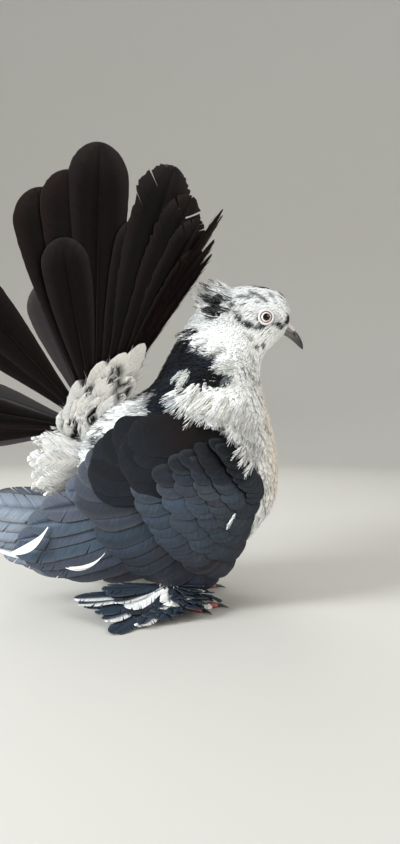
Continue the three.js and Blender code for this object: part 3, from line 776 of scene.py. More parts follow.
def tinted(name, looks, detail, dark, light, strength, depth):
    """The tint of each point, varied by a noise that also raises the surface."""
    material = bpy.data.materials.new(name)
    material.use_nodes = True
    nodes, links = material.node_tree.nodes, material.node_tree.links
    surface = nodes["Principled BSDF"]
    for title, value in looks.items():
        surface.inputs[title].default_value = value
    colour = nodes.new("ShaderNodeAttribute")
    colour.attribute_name = "tint"
    grain = nodes.new("ShaderNodeTexNoise")
    grain.inputs["Detail"].default_value = detail
    shade = nodes.new("ShaderNodeMapRange")
    shade.inputs["To Min"].default_value = dark
    shade.inputs["To Max"].default_value = light
    blend = nodes.new("ShaderNodeVectorMath")
    blend.operation = "SCALE"
    raised = nodes.new("ShaderNodeBump")
    raised.inputs["Strength"].default_value = strength
    raised.inputs["Distance"].default_value = depth
    links.new(grain.outputs["Fac"], shade.inputs["Value"])
    links.new(colour.outputs["Color"], blend.inputs[0])
    links.new(shade.outputs["Result"], blend.inputs["Scale"])
    links.new(blend.outputs["Vector"], surface.inputs["Base Color"])
    links.new(grain.outputs["Fac"], raised.inputs["Height"])
    links.new(raised.outputs["Normal"], surface.inputs["Normal"])
    return material, grain, shade


def plumage(name, roughness, sheen, barb_depth, streak, bump, specular):
    """Feather: fine streaks that follow the barbs."""
    looks = {
        "Roughness": roughness,
        "Specular IOR Level": specular,
        "Sheen Weight": sheen,
        "Sheen Roughness": 0.4,
    }
    made = tinted(name, looks, 3.0, 1 - streak, 1 + 0.6 * streak, bump, barb_depth)
    material, barbs, shade = made
    nodes, links = material.node_tree.nodes, material.node_tree.links
    barbs.inputs["Scale"].default_value = 1.0
    shade.inputs["From Min"].default_value = 0.3
    shade.inputs["From Max"].default_value = 0.7
    where = nodes.new("ShaderNodeUVMap")
    where.uv_map = "Vane"
    stretch = nodes.new("ShaderNodeMapping")
    stretch.inputs["Scale"].default_value = (1.1, 0.10, 1)
    links.new(where.outputs["UV"], stretch.inputs["Vector"])
    links.new(stretch.outputs["Vector"], barbs.inputs["Vector"])
    return material


def plain(name, roughness, scale, depth, specular=0.5, subsurface=0.0):
    """Bare parts: broken up by a fine grain."""
    looks = {
        "Roughness": roughness,
        "Specular IOR Level": specular,
        "Coat Roughness": 0.03,
        "Subsurface Weight": subsurface,
        "Subsurface Scale": 0.0015,
    }
    material, grain, _ = tinted(name, looks, 4.0, 0.75, 1.2, 0.4, depth)
    grain.inputs["Scale"].default_value = scale
    where = material.node_tree.nodes.new("ShaderNodeTexCoord")
    material.node_tree.links.new(where.outputs["Object"], grain.inputs["Vector"])
    return material


SOFT = plumage("soft_plumage", 0.85, 0.04, 0.0001, 0.10, bump=0.15, specular=0.07)
GLOSSY = plumage("flight_plumage", 0.52, 0.0, 0.0002, 0.35, bump=0.35, specular=0.25)
FAN = plumage("fan_plumage", 0.55, 0.0, 0.0002, 0.4, bump=0.35, specular=0.08)
BACK = plumage("back_plumage", 0.7, 0.0, 0.0002, 0.3, bump=0.3, specular=0.08)
HORN = plain("horn", 0.32, 900, 0.0001)
BARE = plain("bare_skin", 0.55, 1500, 0.00025, subsurface=0.15)
EYEBALL = plain("eyeball", 0.1, 2500, 0.00001, specular=0.35)
SCALY = plain("scaly_skin", 0.5, 1200, 0.0002)
UNDER = plain("skin", 0.85, 700, 0.0003, specular=0.2)

# Skin


def inset(t):
    """How deep the plumage is over the skin, from the bill to the tail."""
    return np.interp(t, (0, 1, 3, 5, 7, 9, 14, 18), (1.0, 1.4, 2.2, 3.2, 4.5, 5.5, 6.0, 4.0))


def make_skin():
    """The body without its feathers, in one mesh with the thighs."""
    pile = Pile()
    rng = np.random.default_rng(3)
    rings, around = 160, 96
    t = np.linspace(0.0, BODY_END, rings)[:, None]
    turn = (circle(around) - math.pi)[None]
    points = body_point(t, turn, -inset(t))
    quads, tris = tube_faces(rings, around)
    # Painted shade: the skin takes the plumage's colours darkened to 0.8, as under the feathers
    colour = body_tint(body_point(t, turn), rng) * 0.8
    pile.add(points, quads, tris, colour, bake_place(t, turn), pairs(t * 9, turn * 20))
    for _, side in SIDES:
        hip, ankle = mirrored(HIP, side), mirrored(ANKLE, side)
        path = [mix(hip, ankle, f) for f in (-0.3, 0.0, 0.3, 0.6, THIGH_END)]
        # Painted shade: the thighs' white is darkened to 0.8 likewise
        rod(pile, path, (9, 11, 10.5, 8, 5), WHITE * 0.8, np.array((0.5, 0.99)), 24, up=(0, 1, 0))
    nodes = ("head", "neck", "torso", "rump", "thigh_right", "thigh_left")
    return pile.mesh("skin", UNDER, "white_plumage", nodes)


# Coat of the body


def near_eye(p):
    """How far a point lies from the eye's middle, as seen from the side."""
    return np.hypot(p[..., 0] - EYE[0], (p[..., 2] - EYE[2]) * 1.05)


def one_degree(turn):
    """The way of a feather, one degree from straight back towards the back line on its own side."""
    return -np.sign(turn) * math.radians(1)


def head_coat():
    """Short, sleek, narrow feathers, smallest round the eye and the bill."""
    rng = np.random.default_rng(101)
    pile = Pile()

    def spacing(t, turn):
        p = body_point(t, turn)
        face = smooth((near_eye(p) - 7) / 14)
        return mix(1.0, 1.65, 0.5 * face + 0.5 * smooth((t - 0.4) / 3.4))

    def keep(t, turn):
        p = body_point(t, turn)
        return ((t > 0.1) & (t < 5.4) & (near_eye(p) > 6.1)).astype(float)

    t, turn, p = scattered(102, spacing, keep, 46000)
    room = spacing(t, turn)
    length = room * 4.2 * (0.9 + 0.3 * rng.random(len(t)))
    # those in front of the eye stop short of it
    tip = p + unit(body_point(t + 0.15, turn) - p) * length[:, None]
    over = (near_eye(tip) < 6.3) & (np.abs(p[:, 1]) > 4)
    length = np.where(over, np.maximum(1.4, (near_eye(p) - 6.0) * 0.9), length)
    half = np.minimum(room * 0.8, length * 0.4)
    low = smooth((206 - p[:, 2]) / 14) * smooth((np.abs(turn) - 1.2) / 0.6)
    way = one_degree(turn) * (-18 + 30 * low) + (rng.random(len(t)) - 0.5) * 0.35
    loose = smooth((t - 3.2) / 1.8)
    rise = (0.02 + 0.08 * rng.random(len(t))) * mix(1.0, 8.0, loose)
    colour = body_tint(shown(t, turn, way, length, 0.6), rng)
    tip_colour = body_tint(shown(t, turn, way, length, 0.95), rng)
    deep = np.minimum(inset(t) * 0.6, 0.9)
    vanes_on_body(pile, t, turn, way, length, half, deep, rise, colour, tip_colour, rng, point=0.12)
    return pile.mesh("coat_head", SOFT, "white_plumage")


def way_down(t, turn, degrees):
    """The way of a feather that points straight back and down by an angle, as seen from the side."""
    along, around = unit(step_along(t, turn)), unit(step_round(t, turn))
    lean = np.radians(degrees)
    aim = np.stack([-np.cos(lean), 0 * lean, -np.sin(lean)], -1)
    cross = (along * around).sum(-1)
    a, b = (aim * along).sum(-1), (aim * around).sum(-1)
    return np.arctan2(b - a * cross, a - b * cross)


# The slope of the neck's feathers at heights: straight back at the nape, steeper towards the breast
NECK_SLOPE = ((90, 78), (115, 72), (135, 62), (150, 52), (165, 40), (180, 22), (195, 8), (208, 12))


def neck_slope(p):
    """The slope of the neck's feathers at points, steeper at the front."""
    heights, slopes = np.array(NECK_SLOPE, float).T
    front = smooth((p[..., 0] - 56) / 18)
    return np.minimum(86, np.interp(p[..., 2], heights, slopes) + 26 * front)


def layered(p):
    """How near a point is to the end of one of the tiers that the loose neck feathers lie in."""
    wave = np.sin((p[..., 0] * 0.25 - p[..., 2]) / 21 * 2 * math.pi + noise3(p, 40, 17) * 1.4)
    return smooth(wave * 0.5 + 0.5)


def shown(t, turn, way, length, share):
    """The point a share of the way along feathers, on the plumage's surface."""
    along = (length * share)[:, None, None]
    return on_body(t, turn, way, along, 0 * along, 0 * along)[:, 0, 0]


def coat_of_locks(
    name, seed, spacing, keep, tries, shape, parts, count, thick, fan=0.55, vane_share=0.8
):
    """Closed vanes close to the skin, and over them feathers of narrow, loose locks."""
    rng = np.random.default_rng(seed)
    t, turn, p = scattered(seed + 1, spacing, keep, tries)
    length, half, way, rise = shape(t, turn, p, rng)
    way = way + (rng.random(len(t)) - 0.5) * 0.34
    colour = body_tint(shown(t, turn, way, length, 0.55), rng)
    tip_colour = body_tint(shown(t, turn, way, length, 0.85), rng)
    deep = inset(t)
    vanes = Pile()
    vanes_on_body(
        vanes, t, turn, way, length * vane_share, half * 1.1, deep * 0.6 + 0.5, rise * 0.5 - 0.2,
        colour, tip_colour, rng, point=0.2,
    )
    vanes.mesh(name, SOFT, "white_plumage")
    for k, pick in enumerate(np.array_split(np.arange(len(t)), parts)):
        locks = Pile()
        slivers_on_body(
            locks, t[pick], turn[pick], way[pick], length[pick], half[pick],
            deep[pick] * 0.6, rise[pick], colour[pick], tip_colour[pick], rng,
            count=count, thick=thick, fan=fan,
        )
        locks.mesh(f"{name}_locks_{k + 1}", SOFT, "white_plumage")


def neck_coat():
    """Loose, frayed feathers in layers, from the nape and throat down to the breast."""

    def spacing(t, turn):
        return 2.7 + 0.3 * np.clip(t - 5, 0, 5)

    def keep(t, turn):
        return ((t > 4.2) & (t < 10.0)).astype(float)

    def shape(t, turn, p, rng):
        length = mix(8.5, 17, smooth((t - 4.2) / 2.4)) * (0.85 + 0.3 * rng.random(len(t)))
        tier = layered(p)
        rise = 0.1 + 0.5 * rng.random(len(t)) + 1.2 * tier * rng.random(len(t))
        front = smooth((np.abs(turn) - 2.2) / 0.6)
        way = way_down(t, turn, neck_slope(p))
        return length, length * 0.25, way, rise * (1 - 0.6 * front)

    coat_of_locks("coat_neck", 201, spacing, keep, 40000, shape, 2, 7, 0.75)


def torso_coat():
    """Broader feathers on the breast, belly and back."""

    def spacing(t, turn):
        return mix(4.2, 6.0, smooth((t - 9) / 4))

    def keep(t, turn):
        return ((t > 9.6) & (t < 15.6)).astype(float)

    def shape(t, turn, p, rng):
        under = smooth((np.abs(turn) - 1.0) / 0.8)
        length = mix(19, 24, under) * (0.85 + 0.3 * rng.random(len(t)))
        rise = 0.3 + 1.6 * rng.random(len(t)) ** 2
        way = one_degree(turn) * 26 * np.abs(np.sin(turn))
        front = smooth((p[..., 2] - 95) / 20) * smooth((p[..., 0] - 5) / 20)
        way = mix(way, way_down(t, turn, neck_slope(p)), front)
        return length, length * 0.26, way, rise

    coat_of_locks("coat_torso", 301, spacing, keep, 16000, shape, 1, 7, 0.85)


def rump_coat():
    """Long, downy feathers round the rump and under the tail."""

    def spacing(t, turn):
        return 5.0 + 0 * t

    def keep(t, turn):
        return ((t > 13.6) & (t < 17.95)).astype(float)

    def shape(t, turn, p, rng):
        under = smooth((np.abs(turn) - 0.9) / 0.9)
        length = mix(26, 34, under) * (0.8 + 0.35 * rng.random(len(t)))
        length = length * mix(1.0, 0.3, smooth((t - 15.8) / 1.8))
        return length, length * 0.26, 0 * t, 1 + 5 * rng.random(len(t)) ** 1.5

    coat_of_locks("coat_rump", 401, spacing, keep, 9000, shape, 1, 10, 0.55, fan=0.75, vane_share=0.7)


# White ends of the neck's cape, which lie loose over the dark back and the wing's front:
# x and z of a root, length, angle below straight back in degrees
CAPE = (
    (9, 157, 18, 40), (14, 154, 18, 48), (20, 151, 19, 52), (26, 148, 19, 55), (32, 146, 19, 57),
    (38, 145, 19, 58), (44, 144, 20, 60), (50, 143, 20, 60), (54, 139, 20, 62), (58, 134, 19, 64),
    (61, 128, 18, 66), (63, 122, 17, 66), (64, 116, 16, 64),
    (19, 160, 19, 50), (30, 156, 20, 55), (41, 153, 20, 58), (52, 150, 20, 62), (60, 140, 20, 66),
)


# The upper edge of the wing's feathers, as x and z
WING_EDGE = np.array(
    ((-60, 124), (-40, 131), (20, 137), (34, 131), (47, 126), (57, 116), (64, 98)), float
)

side_t, side_turn = np.meshgrid(
    np.linspace(4, BODY_END, 150), np.linspace(0.05, 3.1, 80), indexing="ij"
)
SIDE_POINTS = body_point(side_t, side_turn).reshape(-1, 3)


def side_stand(x, z):
    """How far the outermost surface, body or wing, stands out from the middle plane."""
    near = np.argmin((SIDE_POINTS[:, 0] - x) ** 2 + (SIDE_POINTS[:, 2] - z) ** 2)
    body = SIDE_POINTS[near, 1]
    on_wing = x < 65 and z < np.interp(x, WING_EDGE[:, 0], WING_EDGE[:, 1]) + 2
    return max(body, float(wing_stand(x, z)) + 7.5) if on_wing else body


def loose_plume(pile, cells, rng, side, x, z, length, down, half, tint, **looks):
    """One loose feather lying over the body or the wing, from a root seen at (x, z) on the side."""
    turn = math.radians(down)
    way = np.array((-math.cos(turn), 0.0, -math.sin(turn)))
    across = np.array((-way[2], 0.0, way[0]))
    at = np.linspace(0, 1, 6)
    stand = np.array([side_stand(x + way[0] * length * f, z + way[2] * length * f) for f in at])
    stand = stand + np.array((-1.5, 0.3, 1.0, 1.5, 2.0, 2.6))

    def place(s, c, h):
        point = laid(np.array((x, 0.0, z)), way, across, length * s, c)
        point[..., 1] = side * (np.interp(s, at, stand) + h)
        return point

    plume(pile, place, length, half, rng, tint, cells.next(), **looks)


# Single feathers that stand out on the neck: how many, x, z, length, angle below straight back, half
# width and colour
NECK_MARKS = (
    (5, 15, 172, 18, 50, 2.6, WHITE * 0.8),
    (3, 10, 171, 16, 56, 2.0, WHITE * 0.8),
    (6, 9, 153, 16, 42, 3.2, GREY * 2.2),
    (5, 43, 188, 20, 15, 3.0, WHITE),
    (5, 50, 177, 20, 13, 3.0, WHITE),
    (3, 46, 170, 12, 40, 2.2, GREY),
    (4, 22, 203, 18, 22, 2.6, BLACK * 2),
    (4, 16, 197, 14, 30, 2.4, BLACK * 2),
    (4, 30, 196, 16, 12, 2.4, WHITE),
    (5, 39, 226, 14, -40, 2.8, BLACK * 1.5),
    (5, 38, 221, 15, -26, 3.0, BLACK * 1.5),
    (5, 38, 217, 15, -12, 3.0, BLACK * 1.5),
    (3, 33, 213, 15, -18, 2.6, WHITE),
    (5, 41, 216, 16, 2, 3.2, BLACK * 1.5),
)


def one_colour(colour):
    """A feather's colours where it has only one."""

    def tint(s, b, q):
        return colour + 0 * s[..., None]

    return tint


def cape(side, name):
    """The loose feathers of the neck's single marks, and over them the white ends of the cape."""
    rng = np.random.default_rng(701)
    pile = Pile()
    repeats = 4
    cells = Cells(len(CAPE) * repeats + sum(row[0] for row in NECK_MARKS))
    for count, x, z, most, slope, half, shade in NECK_MARKS:
        for _ in range(count):
            tone = shade * rng.uniform(0.85, 1.1)
            loose_plume(
                pile, cells, rng, side, x + rng.uniform(-2.5, 2.5), z + rng.uniform(-2.5, 2.5),
                most * rng.uniform(0.75, 1.1), slope + rng.uniform(-12, 12), half,
                one_colour(tone), root=0.6, barbs=9, thick=0.5, slant=2.2, loose=0.3,
            )
    for x, z, most, down in CAPE:
        for _ in range(repeats):
            loose_plume(
                pile, cells, rng, side, x + rng.uniform(-3, 6), z + rng.uniform(-3, 4),
                most * rng.uniform(0.75, 1.1), down + rng.uniform(-9, 9), 3.0,
                splotched(rng, 0.02), root=0.6, barbs=10, thick=0.55, slant=3.4, loose=0.22,
            )
    return pile.mesh(name, SOFT, "white_plumage")


# Fan of the tail


def fan_frame(side):
    """The fan's middle line, its way outwards and the way its feathers face, on one side."""
    middle = np.array((math.cos(TAIL_LEAN), 0, math.sin(TAIL_LEAN)))
    back = np.array((-math.sin(TAIL_LEAN), 0, math.cos(TAIL_LEAN)))
    outward = np.array((0, side * math.cos(TAIL_FOLD), 0)) + back * math.sin(TAIL_FOLD)
    face = np.cross(middle, outward) * -side
    return middle, outward, face


def fan_place(side, angle, length, half, bend, lift, curl, tilt=TAIL_TILT, twist=0.0):
    """The place of a feather at an angle round the fan."""
    middle, outward, face = fan_frame(side)
    turn = math.radians(angle)
    along = middle * math.cos(turn) + outward * math.sin(turn)
    over = -middle * math.sin(turn) + outward * math.cos(turn)

    def place(s, c, h):
        off = 2 + lift * smooth(3 * s) + (tilt + twist * s) * c / half
        off = off + curl * (length * s / 100) ** 2 + h
        reach = 3 + (length - 3) * s
        return laid(TAIL_PIVOT + face * off[..., None], along, over, reach, c - bend * s**2)

    return place


def fan_tint(rng, base, edge, pale_root, tip_wear=0.35):
    """Dark brown to black, browner towards a worn edge and tip, paler at the quill. The paler edge is
    partly a painted highlight.
    """
    warm = rng.uniform(0.2, 1.0)
    shade = rng.uniform(0.45, 0.75)

    def tint(s, b, q):
        colour = mix(base, UMBER, warm * 0.5) * shade
        # The paler, browner edges are worn colour and painted highlight; the browner tip is wear
        wear_and_edge_highlight = smooth((np.abs(b) - 0.55) / 0.45) * 0.5 + smooth((s - 0.86) / 0.14) * tip_wear
        colour = mix(colour, edge, np.clip(wear_and_edge_highlight, 0, 1)[..., None])
        root = smooth((0.22 - s) / 0.2)
        return mix(colour, pale_root, root[..., None])

    return tint


def tail_fan(side, table, seed, name):
    """Half the fan: its broad feathers, frayed near the front edge, and the slim ones there."""
    rng = np.random.default_rng(seed)
    pile = Pile()
    cells = Cells(len(table) + len(TAIL_WISPS))
    for angle, length, half, bend in table:
        ragged = angle < 16
        lift = 4.0 if length < 150 and 25 < angle < 60 else 0.0
        place = fan_place(side, angle, length, half, bend, lift, 1.5, twist=rng.uniform(-1.2, 1.2))
        edge = mix(UMBER * 1.7, GREY * 0.3, rng.random() * 0.4)
        feather(
            pile, place, length, half, rng,
            fan_tint(rng, BLACK, edge, GREY), cells.next(),
            root=0.12, rows=72 if ragged else 52, columns=5, splits=0,
            frayed=3 if ragged else 0, gap=0.008,
            wear=0.03 if ragged else 0.0, rough=0.12 if ragged else 0.02, tip=0.13, widest=0.85,
            thick=0.55, shaft=1.1, shaft_tint=UMBER * 1.4, curl=1.2,
        )
    for angle, length, half, bend in TAIL_WISPS:
        place = fan_place(side, angle, length, half, bend, 1.5, 1.5)
        tint = fan_tint(rng, BLACK, UMBER * 1.7, GREY)
        cell = cells.next()
        feather(
            pile, place, length, half, rng, tint, cell,
            root=0.3, rows=30, columns=2, splits=0, thick=0.4, shaft=0, tip=0.55, whole=True,
        )
        plume(
            pile, place, length * 0.97, half * 1.4, rng, tint, cell,
            root=0.2, barbs=26, thick=0.5, slant=4.0, loose=0.3, start=0.3,
        )
    return pile.mesh(name, FAN, "tail_plumage", (f"tail_{word_of(side)}",))


def splotched(rng, dark, light=WHITE):
    """White, or cream white, with a dark patch on a share of the feathers."""
    middle = rng.uniform(0.55, 1.0)
    side = rng.choice((-1.0, 1.0)) * rng.uniform(0.3, 1.0)
    big = rng.uniform(0.15, 0.4) if rng.random() < dark else 0.0
    cream = rng.uniform(0, 0.25)

    def tint(s, b, q):
        pale = mix(light, CREAM, cream)
        inside = 1 - np.hypot((s - middle) / max(big, 1e-3), (b - side) / 0.8)
        share = smooth(inside * 3) if big > 0 else 0 * s
        return mix(pale, BLACK * 1.3, share[..., None])

    return tint


# Dark marks of the cushion at the fan's root, as seen from the side: x, z, radii and turn
CUSHION_MARKS = (
    (-40, 164, 3.6, 21, 4),
    (-31, 158, 2.8, 13, -8),
    (-57, 138, 3.6, 8, 0),
    (-59, 157, 2.6, 6, 0),
    (-71, 133, 9, 2.6, 15),
    (-70, 120, 4.4, 8, 0),
    (-84, 111, 4, 4.5, -40),
    (-33, 137, 3.4, 3.4, 0),
)


def marked(place, half, base):
    """A feather's colours with the dark marks of the cushion over them."""

    def tint(s, b, q):
        p = place(s, b * half, 0 * s)
        black = 0.0 * p[..., 0]
        for x, z, rx, rz, turn in CUSHION_MARKS:
            black = np.maximum(black, smooth(spot(p, x, z, rx, rz, turn) * 4))
        return mix(base(s, b, q), BLACK * 1.3, black[..., None])

    return tint


# How long the cushion's feathers are at angles round the fan
CUSHION_LENGTHS = ((2, 72), (12, 72), (22, 58), (51, 44), (96, 35), (112, 30))


def tail_coverts(side, seed, name):
    """The soft cushion at the fan's root: loose feathers over closed ones, white and splotched."""
    rng = np.random.default_rng(seed)
    pile = Pile()
    count = 54
    cells = Cells(count)
    angles, lengths = np.array(CUSHION_LENGTHS, float).T
    for i in range(count):
        share = mix(1.0, 0.45, i / (count - 1))
        angle = mix(7, 112, (i * 0.618) % 1)
        length = float(np.interp(angle, angles, lengths)) * share * rng.uniform(0.88, 1.08)
        half = rng.uniform(11, 15) * (0.7 + 0.3 * share)
        lift = mix(13.5, 4.5, (share - 0.45) / 0.55) + rng.uniform(-1, 1)
        place = fan_place(
            side, angle, length, half, mix(7, 0, angle / 112), lift, 4.0,
            tilt=0.8, twist=rng.uniform(-1, 1),
        )
        base = splotched(rng, 0.08)
        cell = cells.next()
        feather(
            pile, place, length * 0.84, half * 0.8, rng, marked(place, half * 0.8, base), cell,
            root=0.45, rows=12, columns=3, splits=0, thick=0.3, shaft=0,
            curl=0.2, wear=0.1, arch=0.02, whole=True, tip=0.3,
        )
        plume(
            pile, place, length, half * 1.2, rng, marked(place, half * 1.2, base), cell,
            root=0.6, barbs=28, thick=0.5, loose=0.5, slant=1.3, start=0.25, shaft=0,
        )
    return pile.mesh(name, SOFT, "tail_plumage")


# The down under the tail grows round this point, in tiers from the outermost to the innermost: how
# many feathers, how far out their roots are, length, outward slope and the angle they spread over
UNDERTAIL_CENTRE = np.array((-54.0, 0.0, 105.0))
UNDERTAIL_TIERS = ((17, 18, 48, 0.55, 5.4), (15, 13, 52, 0.36, 5.0), (12, 8, 50, 0.16, 4.4))


def undertail():
    """Bright down under the tail, round the rump's end, its white raised as painted light."""
    rng = np.random.default_rng(461)
    pile = Pile()
    cells = Cells(sum(tier[0] for tier in UNDERTAIL_TIERS))
    for count, radius, most, splay, spread in UNDERTAIL_TIERS:
        for i in range(count):
            turn = spread * (i / (count - 1) - 0.5) + rng.uniform(-0.08, 0.08)
            out = np.array((0, math.sin(turn), -math.cos(turn)))
            over = np.array((0, math.cos(turn), math.sin(turn)))
            root = UNDERTAIL_CENTRE + out * radius
            along = unit(np.array((-1, 0, -0.12)) + out * (splay + rng.uniform(-0.06, 0.06)))
            length = most * rng.uniform(0.8, 1.02)
            droop = rng.uniform(-3, 5)

            def place(s, c, h):
                off = h + droop * s**2 - 0.03 * c**2
                return laid(root, along, over, length * s, c) + out * off[..., None]

            # Painted light: this white is 1.06 as bright as elsewhere, for the strong light on the
            # undertail
            tint = splotched(rng, 0.06, light=WHITE * 1.06)
            cell = cells.next()
            feather(
                pile, place, length * 0.85, 8.0, rng, tint, cell,
                root=0.35, rows=16, columns=2, splits=4, frayed=3, gap=0.03, thick=0.3, shaft=0,
                curl=0.8, wear=0.2, whole=True,
            )
            plume(
                pile, place, length, 11.0, rng, tint, cell,
                root=0.55, barbs=22, thick=0.5, loose=0.35, slant=1.2, start=0.35, shaft=0,
            )
    return pile.mesh("undertail_plumes", SOFT, "white_plumage")


# Wings


def wing_stand(x, z):
    """How far the folded wing's surface stands out from the middle plane."""
    ahead = np.maximum(0, x - 20) / 46
    behind = np.maximum(0, 20 - x) / 170
    level = mix(84, 62, smooth(behind))
    return WING_MOST_STAND - 20 * ahead**2 - 26 * behind**1.3 - 20 * ((z - level) / 60) ** 2


def along_line(line, f):
    """A point on the curve through three points."""
    a, b, c = (np.array(p, float) for p in line)
    handle = 2 * b - 0.5 * (a + c)
    return a * (1 - f) ** 2 + 2 * handle * f * (1 - f) + c * f**2


def wing_place(side, root, tip, half, lift, sink, tilt):
    """The place of a feather over the wing, from its root to its tip, and its length."""
    along = tip - root
    across = unit(np.array((-along[1], along[0])))

    def place(s, c, h):
        bow = WING_FEATHER_BEND * 4 * s * (1 - s) + c
        x = root[0] + along[0] * s + across[0] * bow
        z = root[1] + along[1] * s + across[1] * bow
        off = lift + tilt * c / half - sink * (1 - s) ** 2 + h
        return np.stack([x, side * (wing_stand(x, z) + off), z], -1)

    return place, float(np.linalg.norm(along))


# Tiers from the lowest to the topmost: kind of feather, count, line of roots, line of tips, and then
# half width, lift, sink of the root, tilt, rows and columns
WING_TIERS = (
    (
        "primary", 9, ((26, 50), (12, 62), (0, 76)), ((-88, 26), (-130, 44), (-150, 76)),
        9.5, -9, 0, 2.2, 36, 4,
    ),
    (
        "flight", 9, ((24, 52), (6, 80), (-2, 106)), ((-56, 26), (-110, 42), (-74, 86)),
        11.5, -3.2, 3, 1.8, 30, 4,
    ),
    (
        "tertial", 5, ((16, 96), (20, 112), (12, 124)), ((-66, 80), (-66, 99), (-48, 114)),
        13, 1, 6, 1.0, 32, 4,
    ),
    (
        "scapular", 6, ((34, 108), (30, 121), (20, 131)), ((-54, 92), (-54, 108), (-40, 124)),
        16, 2.6, 5, 0.4, 26, 4,
    ),
    (
        "scapular", 6, ((42, 110), (37, 122), (28, 131)), ((-24, 94), (-34, 112), (-20, 128)),
        17, 3.4, 6, 0.3, 24, 4,
    ),
    (
        "covert", 9, ((36, 46), (24, 70), (12, 95)), ((14, 19), (-28, 31), (-55, 67)),
        12.5, 1, 8, 1.0, 26, 4,
    ),
    (
        "covert", 11, ((46, 60), (36, 82), (24, 107)), ((27, 27), (-2, 46), (-24, 88)),
        10.5, 3.4, 10, 0.9, 22, 4,
    ),
    (
        "covert", 11, ((52, 72), (43, 92), (30, 113)), ((35, 38), (10, 57), (-10, 98)),
        8.8, 4.7, 11, 0.8, 18, 3,
    ),
    (
        "covert", 12, ((55, 82), (49, 99), (36, 118)), ((42, 47), (20, 68), (1, 106)),
        7.6, 5.6, 13, 0.75, 16, 3,
    ),
    (
        "covert", 12, ((57, 88), (51, 103), (39, 120)), ((47, 57), (28, 76), (9, 111)),
        6.8, 6.2, 15, 0.7, 14, 3,
    ),
    (
        "covert", 13, ((60, 94), (54, 109), (43, 123)), ((52, 68), (36, 86), (18, 116)),
        6.2, 6.7, 18, 0.65, 14, 3,
    ),
    (
        "covert", 13, ((63, 100), (57, 114), (47, 126)), ((58, 80), (45, 98), (29, 121)),
        5.6, 7.1, 22, 0.6, 12, 3,
    ),
)


def wing_tint(kind, rng, x=0.0, z=80.0):
    """Slate to blue black, browner low on the shield, black on the dome of the back, pale rims. The
    primaries are partly painted light, and the coverts have a painted sheen in the middle with painted
    shade at the edges.
    """
    brown = smooth((66 - z) / 26) * smooth((x + 75) / 30) * 0.75
    brown = np.clip(brown + rng.uniform(-0.15, 0.25), 0, 1)
    front = mix(1.0, 0.5, smooth((x - 40) / 20))
    blue = mix(SLATE, TEAL, rng.random())
    pick = mix(blue, mix(UMBER * 1.3, PURPLE, rng.random()), brown)
    other = mix(pick, mix(mix(SLATE, PURPLE, rng.random()), TEAL, rng.random() * 0.6), 0.5)
    if kind == "covert":
        high = 0.85 * smooth((z - 84) / 28)
        pick, other = mix(pick, BLACK * 1.4, high), mix(other, BLACK * 1.4, high)
    if kind in ("scapular", "tertial"):
        pick = mix(BLACK, UMBER, 0.5 * rng.random())
        other = mix(BLACK, SLATE, (0.5 if kind == "tertial" else 0.12) * (0.5 + rng.random()))
    if kind == "primary":
        pick, other = mix(SLATE, GREY, 0.1), mix(SLATE, GREY, 0.4)
    # The primaries' doubled brightness is partly their own grey-blue and partly painted light, the
    # sky's light reflected off them
    shades = {"primary": 2.0, "flight": 1.8, "scapular": 0.8, "covert": front}
    shade = rng.uniform(0.9, 1.1) * shades.get(kind, 1.0)
    rim = mix(GREY, CREAM * 0.35, rng.random() * 0.4) * rng.uniform(0.25, 0.6)
    rims = {"primary": 0.7, "scapular": 0.03, "covert": 0.25, "tertial": 0.2}
    rim_share = rims.get(kind, 0.4)
    # Painted sheen and painted shade on the coverts: lighter in the middle towards the tip, darker at
    # the edges and the root
    painted_sheen_and_shade = 0.5 if kind == "covert" else 0.0

    def tint(s, b, q):
        colour = mix(pick, other, smooth((s - 0.3) / 0.6 + 0.3 * b)[..., None]) * shade
        middle = smooth((1 - np.abs(b)) * 1.4) * smooth((s - 0.45) / 0.3)
        colour = colour * (1 + painted_sheen_and_shade * (middle - 0.5))[..., None]
        edge = smooth((np.abs(b) - 0.8) / 0.2) * smooth((s - 0.45) / 0.2)
        edge = np.maximum(edge, smooth((q - 0.90) / 0.1) * smooth((np.abs(b) - 0.75) / 0.25))
        return mix(colour, rim, (rim_share * edge)[..., None])

    return tint


def white_edged(base):
    """A feather's colours with a white edge on one side."""

    def tint(s, b, q):
        edge = smooth((b - 0.35) / 0.3) * smooth((s - 0.3) / 0.15)
        return mix(base(s, b, q), WHITE * 0.85, (0.9 * edge)[..., None])

    return tint


